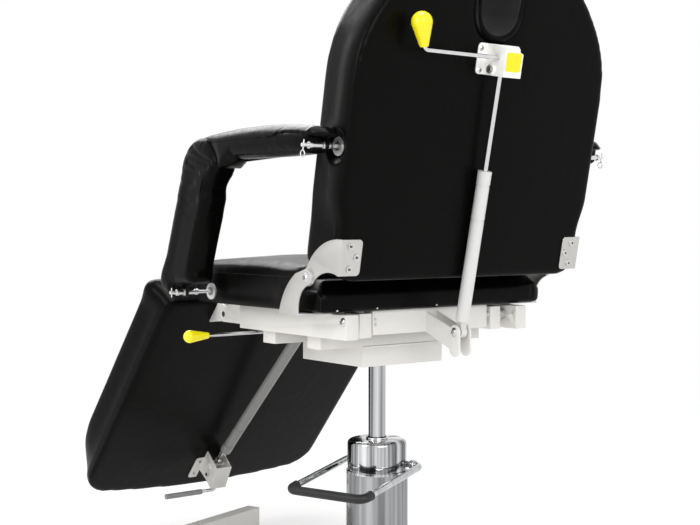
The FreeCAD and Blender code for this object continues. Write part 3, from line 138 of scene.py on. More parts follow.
class Value:
    """A shader socket in an expression. Each operator adds its Math node."""

    def __init__(self, finish, socket):
        self.finish = finish
        self.socket = socket

    def math(self, operation, first, second):
        return self.finish.node("ShaderNodeMath", {"operation": operation}, {0: first, 1: second})

    def __add__(self, other):
        return self.math("ADD", self, other)

    def __radd__(self, other):
        return self.math("ADD", other, self)

    def __sub__(self, other):
        return self.math("SUBTRACT", self, other)

    def __rsub__(self, other):
        return self.math("SUBTRACT", other, self)

    def __mul__(self, other):
        return self.math("MULTIPLY", self, other)

    def __rmul__(self, other):
        return self.math("MULTIPLY", other, self)

    def __gt__(self, other):
        return self.math("GREATER_THAN", self, other)

    def __abs__(self):
        return self.math("ABSOLUTE", self, 0.0)

    def at_most(self, other):
        return self.math("MINIMUM", self, other)

    def at_least(self, other):
        return self.math("MAXIMUM", self, other)


class Finish:
    """A material while it is made. node() adds any node and wraps one of its outputs."""

    def __init__(self, name, owner=None):
        if owner is None:
            owner = bpy.data.materials.new(name)
        owner.use_nodes = True
        self.owner = owner
        self.tree = owner.node_tree
        self.tree.nodes.clear()

    def node(self, kind, settings=None, inputs=None, output=0):
        made = self.tree.nodes.new(kind)
        for key, value in (settings or {}).items():
            setattr(made, key, value)
        for key, value in (inputs or {}).items():
            if isinstance(value, Value):
                self.tree.links.new(value.socket, made.inputs[key])
            else:
                made.inputs[key].default_value = value
        return Value(self, made.outputs[output])

    def place(self, stretch=(1, 1, 1), turn=(0, 0, 0)):
        """Object coordinates, stretched and turned for a pattern."""
        point = self.node("ShaderNodeTexCoord", output="Object")
        return self.node("ShaderNodeMapping", {},
                         {"Vector": point, "Scale": stretch, "Rotation": turn})

    def axis(self, letter):
        """One of the Object coordinates, X, Y or Z."""
        return self.node("ShaderNodeSeparateXYZ", {}, {0: self.place()}, output=letter)

    def backdrop_rays(self):
        """1 for the rays that see the white backdrop: camera, glossy and transmission rays."""
        kinds = ("Is Camera Ray", "Is Glossy Ray", "Is Transmission Ray")
        direct, gloss, clear = [self.node("ShaderNodeLightPath", output=kind) for kind in kinds]
        return direct.at_least(gloss).at_least(clear)

    def cloud(self, scale, detail=3, stretch=(1, 1, 1), turn=(0, 0, 0)):
        """Soft noise from 0 to 1 with so many blotches a metre."""
        return self.node("ShaderNodeTexNoise", {}, {
            "Vector": self.place(stretch, turn), "Scale": scale, "Detail": detail})

    def cells(self, scale, feature="F1"):
        return self.node("ShaderNodeTexVoronoi", {"feature": feature},
                         {"Vector": self.place(), "Scale": scale})

    def stripes(self, scale, direction):
        return self.node("ShaderNodeTexWave", {"bands_direction": direction},
                         {"Vector": self.place(), "Scale": scale, "Distortion": 0.6})

    def tint(self, share, low, high):
        """Colour between low and high by a share from 0 to 1."""
        return self.node("ShaderNodeMix", {"data_type": "RGBA"},
                         {0: share, 6: (*low, 1), 7: (*high, 1)}, output=2)

    def bump(self, height, strength, distance, under=None):
        inputs = {"Height": height, "Strength": strength, "Distance": distance}
        if under is not None:
            inputs["Normal"] = under
        return self.node("ShaderNodeBump", {}, inputs, output="Normal")

    def surface(self, **sockets):
        """Principled surface; an underscore in a name stands for a space."""
        inputs = {key.replace("_", " "): value for key, value in sockets.items()}
        shader = self.node("ShaderNodeBsdfPrincipled", {}, inputs)
        self.end(shader)
        return self.owner

    def end(self, shader, kind="ShaderNodeOutputMaterial"):
        """Lead a shader to the output of the material or the world."""
        out = self.tree.nodes.new(kind)
        self.tree.links.new(shader.socket, out.inputs["Surface"])


def leather(name, dark, light, rough, gloss):
    """Faux leather: pebble grain, faint folds and patches that are rubbed a little smoother."""
    f = Finish(name)
    patches = f.cloud(9, 4)
    folds = abs(f.cloud(26, 2, (1, 1, 0.6)) - 0.5)
    grain = f.cells(820)
    pores = f.cells(1700, "DISTANCE_TO_EDGE")
    height = f.bump(grain, 0.35, 0.0002)
    height = f.bump(pores, 0.2, 0.00008, height)
    height = f.bump(folds, 0.25, 0.0035, height)
    return f.surface(Base_Color=f.tint(patches, dark, light),
                     Roughness=rough + 0.16 * patches - 0.05 * grain, Normal=height,
                     Specular_IOR_Level=gloss)


def painted(name, colour, shade, rough, peel=0.12):
    """Powder coat: orange peel, uneven tone and fine dark specks."""
    f = Finish(name)
    tone = f.cloud(5, 4)
    specks = (f.cloud(240, 2) > 0.7) * 0.35
    fine = f.cloud(950, 2)
    height = f.bump(fine, peel, 0.0003)
    return f.surface(Base_Color=f.tint((tone * 0.6 + specks).at_most(1.0), colour, shade),
                     Roughness=rough + 0.15 * tone + 0.05 * fine, Normal=height)


def chrome_painted_reflection(name, bright, dull, rough, turns):
    """Chrome on a round part of the column, with upright bands of painted reflection."""
    f = Finish(name)
    angle = f.node("ShaderNodeMath", {"operation": "ARCTAN2"},
                   {0: f.axis("Y") - COLUMN.y * MM, 1: f.axis("X") - COLUMN.x * MM})
    around = f.node("ShaderNodeCombineXYZ", {}, {"X": angle * turns, "Z": f.axis("Z") * 0.6})
    broad_painted_reflection = f.node("ShaderNodeTexNoise", {}, {"Vector": around, "Scale": 1.0, "Detail": 2.0})
    fine = f.node("ShaderNodeTexNoise", {}, {"Vector": around, "Scale": 4.0, "Detail": 2.0})
    # Painted reflection: dark and bright upright bands in the colour, set by the angle round the
    # column.
    share = ((broad_painted_reflection - 0.5) * 3.4 + (fine - 0.5) * 0.5 + 0.5).at_most(1.0).at_least(0.0)
    smudge = f.cloud(22, 4)
    height = f.bump(f.cloud(60, 2), 0.03, 0.0008)
    return f.surface(Base_Color=f.tint(share, dull, bright), Metallic=1.0,
                     Roughness=rough + 0.12 * smudge * smudge, Normal=height)


def polished(name, bright, dull, rough, streak=(9, 9, 0.7)):
    """Chrome plate: smudges, and lengthwise streaks of painted reflection in its colour."""
    f = Finish(name)
    # Painted reflection: lengthwise dark and bright streaks in the colour.
    painted_reflection_streaks = f.cloud(11, 3, streak)
    smudge = f.cloud(22, 4)
    height = f.bump(f.cloud(60, 2), 0.03, 0.0008)
    return f.surface(Base_Color=f.tint(painted_reflection_streaks, dull, bright), Metallic=1.0,
                     Roughness=rough + 0.12 * smudge * smudge, Normal=height)


def brushed(name, bright, dull, rough, grain=(1, 60, 60)):
    """Brushed steel: fine straight scratches and an uneven sheen."""
    f = Finish(name)
    lines = f.cloud(28, 4, grain)
    tone = f.cloud(14, 3)
    height = f.bump(lines, 0.16, 0.0002)
    return f.surface(Base_Color=f.tint(lines * 0.5 + tone * 0.5, dull, bright), Metallic=1.0,
                     Roughness=rough + 0.18 * lines, Normal=height)


TUBE_REACH = 6.4


def tipped(name, line_y, line_z):
    """Bar in near-black as painted shade under the pad; bright steel on the tube at its end."""
    f = Finish(name)
    away = abs(f.axis("Y") - line_y * MM).at_least(abs(f.axis("Z") - line_z * MM))
    shade_black_part = away > TUBE_REACH * MM
    lines = f.cloud(28, 4, (60, 1, 60))
    height = f.bump(lines, 0.12, 0.0002)
    # Near-black on the bar is painted shade.
    return f.surface(Base_Color=f.tint(shade_black_part, (0.75, 0.75, 0.75), (0.003, 0.003, 0.003)),
                     Metallic=1.0 - shade_black_part, Roughness=0.25 + 0.15 * lines, Normal=height,
                     Specular_IOR_Level=0.1)


def moulded(name, colour, shade, rough, grain_scale, depth, coat=0.0):
    """Moulded plastic or rubber: fine texture and uneven colour."""
    f = Finish(name)
    tone = f.cloud(30, 3)
    grain = f.cloud(grain_scale, 2)
    height = f.bump(grain, 0.3, depth)
    return f.surface(Base_Color=f.tint(tone, colour, shade), Roughness=rough + 0.14 * grain,
                     Normal=height, Coat_Weight=coat)


def cloth(name, dark, light):
    """Plain woven cover cloth."""
    f = Finish(name)
    weave = (f.stripes(260, "X") * f.stripes(260, "Z")).at_least(f.stripes(260, "Y") * 0.6)
    lint = f.cloud(340, 2)
    height = f.bump(weave, 0.4, 0.0003)
    return f.surface(Base_Color=f.tint(weave * 0.6 + lint * 0.4, dark, light),
                     Roughness=0.75 + 0.15 * lint, Normal=height, Specular_IOR_Level=0.2)


hide = leather("black_leather", (0.001, 0.001, 0.0009), (0.0022, 0.0022, 0.002), rough=0.24,
               gloss=0.06)
thread = moulded("black_thread", (0.012, 0.012, 0.013), (0.03, 0.03, 0.03), rough=0.6,
                 grain_scale=2500, depth=0.0002)
white = painted("white_powder_coat", (0.72, 0.705, 0.68), (0.66, 0.645, 0.62), rough=0.34)
# Lighter copy of the white powder coat, for the release bracket: painted light.
white_painted_light = painted("white_coat_painted_light", (0.93, 0.925, 0.9), (0.88, 0.87, 0.85), rough=0.3)
chrome = polished("chrome", (0.75, 0.76, 0.77), (0.3, 0.31, 0.32), rough=0.05)
# Each copy has its own range of painted reflection; the cover's dark range is painted shade.
cover_chrome_painted_shade = chrome_painted_reflection("cover_chrome_painted_shade", (0.48, 0.49, 0.5), (0.13, 0.135, 0.14), rough=0.06,
                             turns=2.4)
cap_chrome = chrome_painted_reflection("cap_chrome", (0.85, 0.86, 0.87), (0.06, 0.06, 0.065), rough=0.04,
                           turns=3.4)
piston_chrome = chrome_painted_reflection("piston_chrome", (0.7, 0.71, 0.72), (0.05, 0.05, 0.055), rough=0.05,
                              turns=1.7)
rod_chrome = polished("rod_chrome", (0.82, 0.82, 0.82), (0.6, 0.6, 0.61), rough=0.09,
                      streak=(20, 20, 20))
steel = brushed("brushed_steel", (0.72, 0.71, 0.69), (0.5, 0.49, 0.48), rough=0.3)
zinc = brushed("zinc_plate", (0.9, 0.9, 0.89), (0.7, 0.7, 0.7), rough=0.36, grain=(20, 20, 20))
arm_steel = tipped("arm_bar", back_rod_line.y + COLUMN.y, back_rod_line.z + RAIL_HEIGHT)
post_steel = tipped("post_bar", SEAT_ROD[0] + COLUMN.y, SEAT_ROD[1] + RAIL_HEIGHT)
bolt_steel = brushed("bolt_steel", (0.8, 0.8, 0.79), (0.55, 0.55, 0.55), rough=0.2,
                     grain=(30, 30, 30))
dull_steel = brushed("dull_steel", (0.35, 0.35, 0.34), (0.2, 0.2, 0.2), rough=0.3,
                     grain=(30, 30, 30))
# Dark steel for the hex sockets: painted shade in the holes.
socket_steel_painted_shade = brushed("socket_steel_painted_shade", (0.12, 0.12, 0.12), (0.04, 0.04, 0.04), rough=0.35,
                     grain=(30, 30, 30))
spring_paint = painted("spring_paint", (0.66, 0.66, 0.65), (0.55, 0.55, 0.55), rough=0.3, peel=0.2)
# Darker copy of the spring paint, for the legrest and tilt springs: painted shade.
spring_paint_painted_shade = painted("spring_paint_painted_shade", (0.27, 0.27, 0.26), (0.2, 0.2, 0.2), rough=0.35,
                            peel=0.2)
yellow = moulded("yellow_plastic", (0.84, 0.74, 0.0), (0.8, 0.69, 0.0), rough=0.26,
                 grain_scale=500, depth=0.00015, coat=0.2)
rubber = moulded("black_rubber", (0.004, 0.004, 0.004), (0.01, 0.01, 0.01), rough=0.4,
                 grain_scale=900, depth=0.0004)
caps = moulded("white_caps", (0.78, 0.77, 0.74), (0.7, 0.69, 0.66), rough=0.45, grain_scale=700,
               depth=0.0003)
grip_plastic = moulded("grey_grip", (0.3, 0.3, 0.305), (0.22, 0.22, 0.225), rough=0.4,
                       grain_scale=700, depth=0.0004)
# The lining is lighter than the hide: partly its cloth colour, partly painted light on the hole's
# inside wall.
lining_painted_light = cloth("black_lining", (0.014, 0.0145, 0.014), (0.04, 0.041, 0.04))
dust_cloth = cloth("black_dust_cloth", (0.01, 0.01, 0.01), (0.03, 0.03, 0.03))

NODE_FINISHES = (
    (white, "base_front_beam base_rear_beam base_spine column_box cross_tubes inner_rails "
            "outer_rails legrest_yokes front_crossbar rear_crossbar legrest_ears "
            "legrest_bracket"),
    (white_painted_light, "release_bracket"),
    (cover_chrome_painted_shade, "pump_cover"),
    (cap_chrome, "pump_cap"),
    (piston_chrome, "piston"),
    (chrome, "pump_cylinder"),
    (chrome, "pedal_shaft pedal_arms"),
    (rod_chrome, "tilt_lever_rod back_lever_rod back_spring_rod leg_spring_rod tilt_spring_rod "
                 "legrest_lever"),
    (zinc, "seat_rods back_rods"),
    (steel, "hinge_claws upper_hinge_brackets"),
    (arm_steel, "arm_core_left arm_core_right"),
    (post_steel, "post_core_left post_core_right"),
    (bolt_steel, "pump_bolts tilt_pivots clevis_pin seat_frame_bolts hinge_bolts backrest_screws "
                 "legrest_screws"),
    (spring_paint, "back_spring_body"),
    (spring_paint_painted_shade, "leg_spring_body tilt_spring_body"),
    (yellow, "tilt_lever_knob back_lever_knob"),
    (rubber, "pedal_sleeve base_feet"),
    (caps, "beam_end_caps"),
    (grip_plastic, "legrest_lever_grip"),
    (dust_cloth, "seat_board"),
)
finish_of = {name: finish for finish, names in NODE_FINISHES for name in names.split()}
for name, finish in finish_of.items():
    for place in nodes[name].material_slots:
        place.material = finish


# Mesh helpers

def mode(name):
    bpy.ops.object.mode_set(mode=name)


def deselect():
    bpy.ops.object.select_all(action="DESELECT")


def all_smooth(mesh):
    mesh.polygons.foreach_set("use_smooth", [True] * len(mesh.polygons))


def alone(piece):
    """Make a piece the only one that is selected, and the active one."""
    deselect()
    piece.select_set(True)
    bpy.context.view_layer.objects.active = piece


def apply_modifiers(piece):
    alone(piece)
    for modifier in list(piece.modifiers):
        bpy.ops.object.modifier_apply(modifier=modifier.name)


def linked(name, mesh):
    piece = bpy.data.objects.new(name, mesh)
    bpy.context.scene.collection.objects.link(piece)
    return piece


def dress(piece, body, finish):
    """Give a piece its finish and its body."""
    piece.data.materials.clear()
    piece.data.materials.append(finish)
    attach(piece, body)
    return piece


def points_of(piece):
    points = np.zeros(len(piece.data.vertices) * 3)
    piece.data.vertices.foreach_get("co", points)
    return points.reshape(-1, 3)


def move_points(piece, points):
    piece.data.vertices.foreach_set("co", points.astype(np.float32).ravel())
    piece.data.update()


def normals_of(piece):
    normals = np.zeros(len(piece.data.vertices) * 3)
    piece.data.vertex_normals.foreach_get("vector", normals)
    return normals.reshape(-1, 3)


def smooth_by_angle(piece, angle=SMOOTH_ANGLE):
    alone(piece)
    bpy.ops.object.shade_smooth_by_angle(angle=radians(angle))


def finish_edges(piece, width, clamp=True):
    """Round a piece's sharp edges by so many millimetres."""
    bevel = piece.modifiers.new("edges", "BEVEL")
    bevel.width = width * MM
    bevel.segments = 2
    bevel.limit_method = "ANGLE"
    bevel.angle_limit = EDGE_ANGLE
    bevel.use_clamp_overlap = clamp
    apply_modifiers(piece)
    smooth_by_angle(piece)


def merged_copy(name, sources):
    """One mesh from copies of CAD nodes, with each copy's loose triangles joined."""
    mesh = bmesh.new()
    for source in sources:
        mesh.from_mesh(nodes[source].data)
    bmesh.ops.remove_doubles(mesh, verts=mesh.verts, dist=MERGE)
    data = bpy.data.meshes.new(name)
    mesh.to_mesh(data)
    mesh.free()
    return linked(name, data)


# Steel: copies of the CAD parts with their edges rounded

def rounded(node, width):
    """Copy of a CAD part whose edges are broken by so many millimetres."""
    piece = merged_copy(node + "_finished", [node])
    mesh = bmesh.new()
    mesh.from_mesh(piece.data)
    bmesh.ops.dissolve_limit(mesh, angle_limit=FLAT_ANGLE, verts=mesh.verts, edges=mesh.edges)
    mesh.to_mesh(piece.data)
    mesh.free()
    finish_edges(piece, width, clamp=False)
    dress(piece, nodes[node]["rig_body"], finish_of[node])
    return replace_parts(piece, node)


EDGES = (
    ("base_front_beam", 1.1), ("base_rear_beam", 1.1), ("base_spine", 1.1), ("column_box", 1.6),
    ("cross_tubes", 1.3), ("inner_rails", 1.1), ("outer_rails", 1.1), ("front_crossbar", 1.3),
    ("rear_crossbar", 1.2), ("legrest_yokes", 1.0), ("release_bracket", 0.8),
    ("legrest_bracket", 0.8), ("legrest_ears", 0.8),
)
for name, width in EDGES:
    rounded(name, width)
for name in ("hinge_claws", "upper_hinge_brackets"):
    rounded(name, width=0.6)


# Upholstery

def remesh(piece, voxel, rounds):
    """Even skin over the piece, with its edges softened."""
    skin = piece.modifiers.new("skin", "REMESH")
    skin.mode = "VOXEL"
    skin.voxel_size = voxel
    soften = piece.modifiers.new("soften", "SMOOTH")
    soften.factor = 0.5
    soften.iterations = rounds
    apply_modifiers(piece)


LEAST_ROOM = 1e-6


def swell(piece, room, pressure=4.0, frames=20):
    """Fill the cover with a cloth simulation; no point moves further than its room in metres."""
    rest = points_of(piece)
    cloth_skin = piece.modifiers.new("cover", "CLOTH")
    settings = cloth_skin.settings
    settings.quality = 4
    settings.use_pressure = True
    settings.uniform_pressure_force = pressure
    settings.effector_weights.gravity = 0
    cloth_skin.point_cache.frame_start = 1
    cloth_skin.point_cache.frame_end = frames
    for step in range(1, frames + 1):
        bpy.context.scene.frame_set(step)
    held = piece.evaluated_get(bpy.context.evaluated_depsgraph_get()).data
    full = np.zeros(len(held.vertices) * 3)
    held.vertices.foreach_get("co", full)
    move = full.reshape(-1, 3) - rest
    piece.modifiers.remove(cloth_skin)
    bpy.context.scene.frame_set(1)
    length = np.linalg.norm(move, axis=1) + TINY
    limit = np.maximum(room(rest), LEAST_ROOM)
    share = limit * np.tanh(length / limit) / length
    move_points(piece, rest + move * share[:, None])


def subdivide(piece):
    """Halve the faces, for a smooth skin."""
    levels = piece.modifiers.new("finer", "SUBSURF")
    levels.levels = levels.render_levels = 1
    apply_modifiers(piece)


def upholstered(name, body, part, sources, voxel, rounds, room, finish=hide):
    """Padded piece in place of its CAD solids; its skin follows the part's own axes."""
    piece = merged_copy(name, sources)
    turn = part.to_3x3().normalized().to_4x4()
    piece.data.transform(turn.inverted())
    remesh(piece, voxel, rounds)
    piece.data.transform(turn)
    swell(piece, room)
    subdivide(piece)
    all_smooth(piece.data)
    dress(piece, body, finish)
    return piece


def near_line(points, path):
    """Distance of each point from a line through the path's points."""
    best = np.full(len(points), np.inf)
    for start, end in zip(path, path[1:]):
        start = np.array(start)
        line = np.array(end) - start
        share = np.clip((points - start) @ line / max(line @ line, TINY), 0, 1)
        gap = points - start - share[:, None] * line
        best = np.minimum(best, np.einsum("ij,ij->i", gap, gap))
    return np.sqrt(best)


def crease(piece, path, width, depth):
    """Press a seam or a fold, with its path in the row frame, into a cover."""
    points = points_of(piece)
    gap = near_line(points, path) / (width * MM)
    move_points(piece, points - normals_of(piece) * (depth * MM * np.exp(-gap * gap))[:, None])


def reshape(piece, part, rule):
    """Move a cover's points by a rule in the part's own millimetres."""
    points = points_of(piece)
    turn = np.array(part.to_3x3())
    move_points(piece, points + rule(points) @ turn.T)


def through(part, places):
    """Places in a part's own millimetres as points in the row frame."""
    return [part @ Vector(place) for place in places]


def fade(distance, start, end):
    """0 below start and 1 above end, with a soft step between them."""
    share = np.clip((distance - start) / (end - start), 0, 1)
    return share * share * (3 - 2 * share)


def arch_path(inset, n, low=60, steps=40):
    """Path round the backrest, from its lower left side over the arch to its lower right side."""
    half = BACK_HALF - inset
    places = [(half, low, n)]
    for step in range(steps + 1):
        angle = pi * step / steps
        places.append((half * cos(angle), SHOULDER + (ARCH - inset) * sin(angle), n))
    return places + [(-half, low, n)]


def slot_path(margin, n, steps=12):
    """Closed path round the face hole at a margin outside its lining."""
    half = LINING_HALF - LINING_WALL + margin
    low, high = HOLE_TURNS
    turn = [pi * step / steps for step in range(steps + 1)]
    top = [(half * cos(a), high + half * sin(a), n) for a in turn]
    bottom = [(-half * cos(a), low - half * sin(a), n) for a in turn]
    return top + bottom + top[:1]


# Backrest. A fill is how far the cloth may swell. A band is where a rule fades in. Both are in
# the part's own millimetres, here and in the next sections.

FRONT_FILL, FLANK_FILL = 9, 4
FRONT_BAND = (10, 50)
FLANK_BAND = (290, 304)
REAR_FACE_BAND = (-55, -20)
FRONT_FACE_BAND = (-40, -15)
DISC_BAND = (20, 60)
HINGE_BAND = (95, 150)
HOLE_BAND = (4, 34)
FOOT_BAND = (6, 50)
BULGE_DISC_BAND = (15, 36)
BULGE_SIDE_BAND = (200, 300)
BULGE_LOW_BAND = (95, 170)
BULGE_HIGH_BAND = (-640, -420)
BULGE_REAR_BAND = (-40, 70)
BULGE_LEAST, BULGE_MORE = 3, 10


def near_slot(x, v):
    """Distance from the outer wall of the face hole's lining."""
    return np.abs(np.hypot(x, v - np.clip(v, *HOLE_TURNS)) - LINING_HALF)


def backrest_room(points):
    x, v, n = own_points(points, BACK).T
    disc = np.hypot(v - BACK_ROD[0], n - BACK_ROD[1])
    front = fade(-n, *FRONT_BAND) * fade(near_slot(x, v), *HOLE_BAND) * fade(v, *FOOT_BAND)
    face = fade(-n, *REAR_FACE_BAND) * fade(n, *FRONT_FACE_BAND)
    flank = fade(np.abs(x), *FLANK_BAND) * face * fade(v, *HINGE_BAND) * fade(disc, *DISC_BAND)
    return np.maximum(FRONT_FILL * front, FLANK_FILL * flank) * MM


backrest = upholstered("backrest_upholstery", "backrest", BACK,
                       ["backrest_cushion", "backrest_board"], voxel=0.006, rounds=4,
                       room=backrest_room)
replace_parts(backrest, "backrest_cushion", "backrest_board")


def shape_backrest(points):
    """Sides that bulge between the discs and the hinges, most towards the rear."""
    x, v, n = own_points(points, BACK).T
    disc = np.hypot(v - BACK_ROD[0], n - BACK_ROD[1])
    side = fade(np.abs(x), *BULGE_SIDE_BAND) * fade(disc, *BULGE_DISC_BAND)
    side = side * fade(v, *BULGE_LOW_BAND) * fade(-v, *BULGE_HIGH_BAND)
    bulge = BULGE_LEAST + BULGE_MORE * fade(n, *BULGE_REAR_BAND)
    return np.stack([np.sign(x) * side * bulge, 0 * v, 0 * n], 1)


reshape(backrest, BACK, shape_backrest)
rear_back_seam = arch_path(inset=0, n=62)
front_back_seam = arch_path(inset=27, n=-52, low=40)
crease(backrest, through(BACK, rear_back_seam), width=3.5, depth=0.7)
crease(backrest, through(BACK, front_back_seam), width=3.5, depth=1.6)
crease(backrest, through(BACK, slot_path(margin=20, n=-57)), width=5, depth=1.8)
crease(backrest, through(BACK, slot_path(margin=16, n=BACK_REAR)), width=3, depth=1.2)

LINING_FILL = 1.2
lining = upholstered("face_hole_pad", "backrest", BACK, ["face_hole_lining"], voxel=0.0032,
                     rounds=3, room=lambda points: np.full(len(points), LINING_FILL * MM),
                     finish=lining_painted_light)
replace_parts(lining, "face_hole_lining")


# Seat

SEAT_TOP_FILL, SEAT_FLANK_FILL, SEAT_NOSE_FILL = 3, 4, 3
SEAT_TOP_BAND = (118, 138)
SEAT_FLANK_BAND = (275, 287)
SEAT_DISC_BAND = (20, 60)
SEAT_CLAW_BAND = (-70, -20)
SEAT_NOSE_BAND = (262, 270)
SEAT_MAIN_BAND = (-128, -110)
SEAT_FOOT_BAND = (58, 75)
ROLL_FRONT_BAND = (134, 146)
ROLL_REAR_BAND = (-190, -168)
ROLL_LOW_BAND = (78, 97)
ROLL_END_BAND = (-286, -262)
ROLL_RISE = 15
SEAT_FLOOR = 52.7


def seat_room(points):
    x, y, z = own_points(points, CHAIR).T
    top = SEAT_TOP_FILL * fade(z, *SEAT_TOP_BAND)
    disc = fade(np.hypot(y - SEAT_ROD[0], z - SEAT_ROD[1]), *SEAT_DISC_BAND)
    flank = SEAT_FLANK_FILL * fade(np.abs(x), *SEAT_FLANK_BAND) * disc * fade(-y, *SEAT_CLAW_BAND)
    nose = SEAT_NOSE_FILL * fade(-y, *SEAT_NOSE_BAND)
    main = fade(-y, *SEAT_MAIN_BAND) * fade(z, *SEAT_FOOT_BAND)
    return np.maximum(top, np.maximum(flank, nose)) * main * MM


seat = upholstered("seat_upholstery", "seat_frame", CHAIR, ["seat_cushion", "seat_board"],
                   voxel=0.0065, rounds=4, room=seat_room)
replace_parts(seat, "seat_cushion")


def shape_seat(points):
    """Rear roll that fills the space under the backrest, and a floor above the seat's board."""
    x, y, z = own_points(points, CHAIR).T
    roll = fade(y, *ROLL_FRONT_BAND) * fade(-y, *ROLL_REAR_BAND) * fade(z, *ROLL_LOW_BAND)
    roll = roll * fade(-np.abs(x), *ROLL_END_BAND)
    return np.stack([0 * x, 0 * y, ROLL_RISE * roll + np.maximum(SEAT_FLOOR - z, 0)], 1)


reshape(seat, CHAIR, shape_seat)
SEAT_SIDE = [(290, -258, 60), (290, -266, 112), (290, -250, 122), (290, 0, 122), (290, 108, 122),
             (289, 130, 112), (286, 138, 98), (286, 180, 96), (284, 193, 84), (284, 195, 58)]
SEAT_REAR_FOLDS = (278, 262)


def seat_seam(side):
    return through(CHAIR, [(side * x, y, z) for x, y, z in SEAT_SIDE])


for side in (-1, 1):
    crease(seat, seat_seam(side), width=3.2, depth=1.8)
    for x in SEAT_REAR_FOLDS:
        fold = through(CHAIR, [(side * x, 197, 58), (side * x, 197, 92)])
        crease(seat, fold, width=3.5, depth=1.6)
crease(seat, through(CHAIR, [(-284, -272, 118), (284, -272, 118)]), width=3.2, depth=1.6)


# Legrest

LEG_FRONT_FILL, LEG_FLANK_FILL = 9, 3.5
LEG_FRONT_BAND = (85, 122)
LEG_FLANK_BAND = (50, 75)
LEG_HEAD_BAND = (8, 60)
LEG_FLANK_HEAD_BAND = (20, 70)
LEG_BULGE_HEAD_BAND = (-60, 30)
LEG_BULGE_FOOT_BAND = (-620, -440)
LEG_BULGE_FRONT_BAND = (45, 110)
LEG_SIDE_BAND = (230, 325)
LEG_CORNER_BAND = (500, 640)
LEG_BULGE, LEG_FRONT_RISE = 17, 12
LEG_CORNER_IN, LEG_CORNER_UP = 20, 8


def legrest_room(points):
    x, s, n = own_points(points, LEG).T
    front = LEG_FRONT_FILL * fade(n, *LEG_FRONT_BAND) * fade(s, *LEG_HEAD_BAND)
    flank = LEG_FLANK_FILL * fade(n, *LEG_FLANK_BAND) * fade(s, *LEG_FLANK_HEAD_BAND)
    return np.maximum(front, flank) * MM


def leg_path(inset, n, top=12):
    """Path round the legrest, open at its upper end."""
    half = LEG_HALF - inset
    low = LEG_FOOT - inset
    side = [(half, top, n), (half, 572, n), (half - 22, 624, n), (half - 74, 646 - inset, n)]
    middle = [(150, low - 6, n), (0, low, n), (-150, low - 6, n)]
    return side + middle + [(-x, s, n) for x, s, n in reversed(side)]


legrest = upholstered("legrest_upholstery", "legrest", LEG,
                      ["legrest_cushion", "legrest_board"], voxel=0.007, rounds=4,
                      room=legrest_room)
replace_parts(legrest, "legrest_cushion", "legrest_board")


def shape_legrest(points):
    """Sides that bulge along their middle, and a front that draws in at its lower corners."""
    x, s, n = own_points(points, LEG).T
    front = fade(n, *LEG_BULGE_FRONT_BAND)
    middle = fade(s, *LEG_BULGE_HEAD_BAND) * fade(-s, *LEG_BULGE_FOOT_BAND) * front
    corner = fade(s, *LEG_CORNER_BAND) * front
    sideways = fade(np.abs(x), *LEG_SIDE_BAND) * (LEG_BULGE * middle - LEG_CORNER_IN * corner)
    return np.stack([np.sign(x) * sideways, -LEG_CORNER_UP * corner, LEG_FRONT_RISE * middle], 1)


reshape(legrest, LEG, shape_legrest)
front_leg_seam = leg_path(inset=22, n=127)
crease(legrest, through(LEG, leg_path(inset=0, n=58)), width=3.5, depth=0.6)
crease(legrest, through(LEG, front_leg_seam), width=3.5, depth=1.6)


# Armrests

PAD_LEAST_FILL, PAD_FILL, POST_FLANK_SHARE = 0.3, 3.0, 0.8
ROD_BAND = (14, 34)
ARM_DRUM_BAND = (DRUM_RADIUS + 3, DRUM_RADIUS + 20)
POST_DRUM_BAND = (DRUM_RADIUS, DRUM_RADIUS + 18)
POST_FLANK_BAND = (18, 24)
LEDGE_FLANK_BAND = (14, 24)
LEDGE_ABOVE, LEDGE_BELOW, LEDGE_BACK_SHARE = 12, 9, 0.8


def rod_gap(y, z):
    """0 round the rods at an armrest's two ends, and 1 away from them."""
    seat_end = np.hypot(y - SEAT_ROD[0], z - SEAT_ROD[1])
    back_end = np.hypot(y - back_rod_line.y, z - back_rod_line.z)
    return fade(np.minimum(seat_end, back_end), *ROD_BAND)


def drum_gap(y, z):
    """Distance from the elbow's axis, on which the arm and the post turn in each other."""
    return np.hypot(y - elbow.y, z - elbow.z)


def arm_room(points):
    x, y, z = own_points(points, CHAIR).T
    main = fade(drum_gap(y, z), *ARM_DRUM_BAND)
    return (PAD_LEAST_FILL + PAD_FILL * main * rod_gap(y, z)) * MM


def post_room(points):
    x, y, z = own_points(points, CHAIR).T
    flank = fade(np.abs(np.abs(x) - ARM_MIDDLE), *POST_FLANK_BAND)
    main = np.maximum(fade(drum_gap(y, z), *POST_DRUM_BAND), flank * POST_FLANK_SHARE)
    return (PAD_LEAST_FILL + PAD_FILL * main * rod_gap(y, z)) * MM


def on_side(side, places):
    """Path on an armrest's side from places (y, z) in the chair frame."""
    return through(CHAIR, [(side, y, z) for y, z in places])


ARM_SEAM = ((-94, 376), (-24, 378), (65, 379), (150, 378), (169, 379), (182, 383), (205, 384),
            (228, 382.5), (258, 379), (290, 375), (302, 376))
POST_SEAM = ((-22, 317), (-45, 289), (-53, 255), (-72, 206), (-96, 157), (-116, 104))
ELBOW_FOLDS = (((-143, 358), (-99, 346), (-33, 327), (3, 324)),
               ((-133, 342), (-104, 331), (-61, 328)),
               ((-150, 330), (-120, 322), (-92, 318)),
               ((-120, 372), (-84, 352), (-48, 340)))
POST_FOLDS = (((-160, 300), (-135, 296), (-112, 300)), ((-150, 268), (-128, 262), (-104, 266)),
              ((-232, 92), (-210, 98), (-186, 92)))


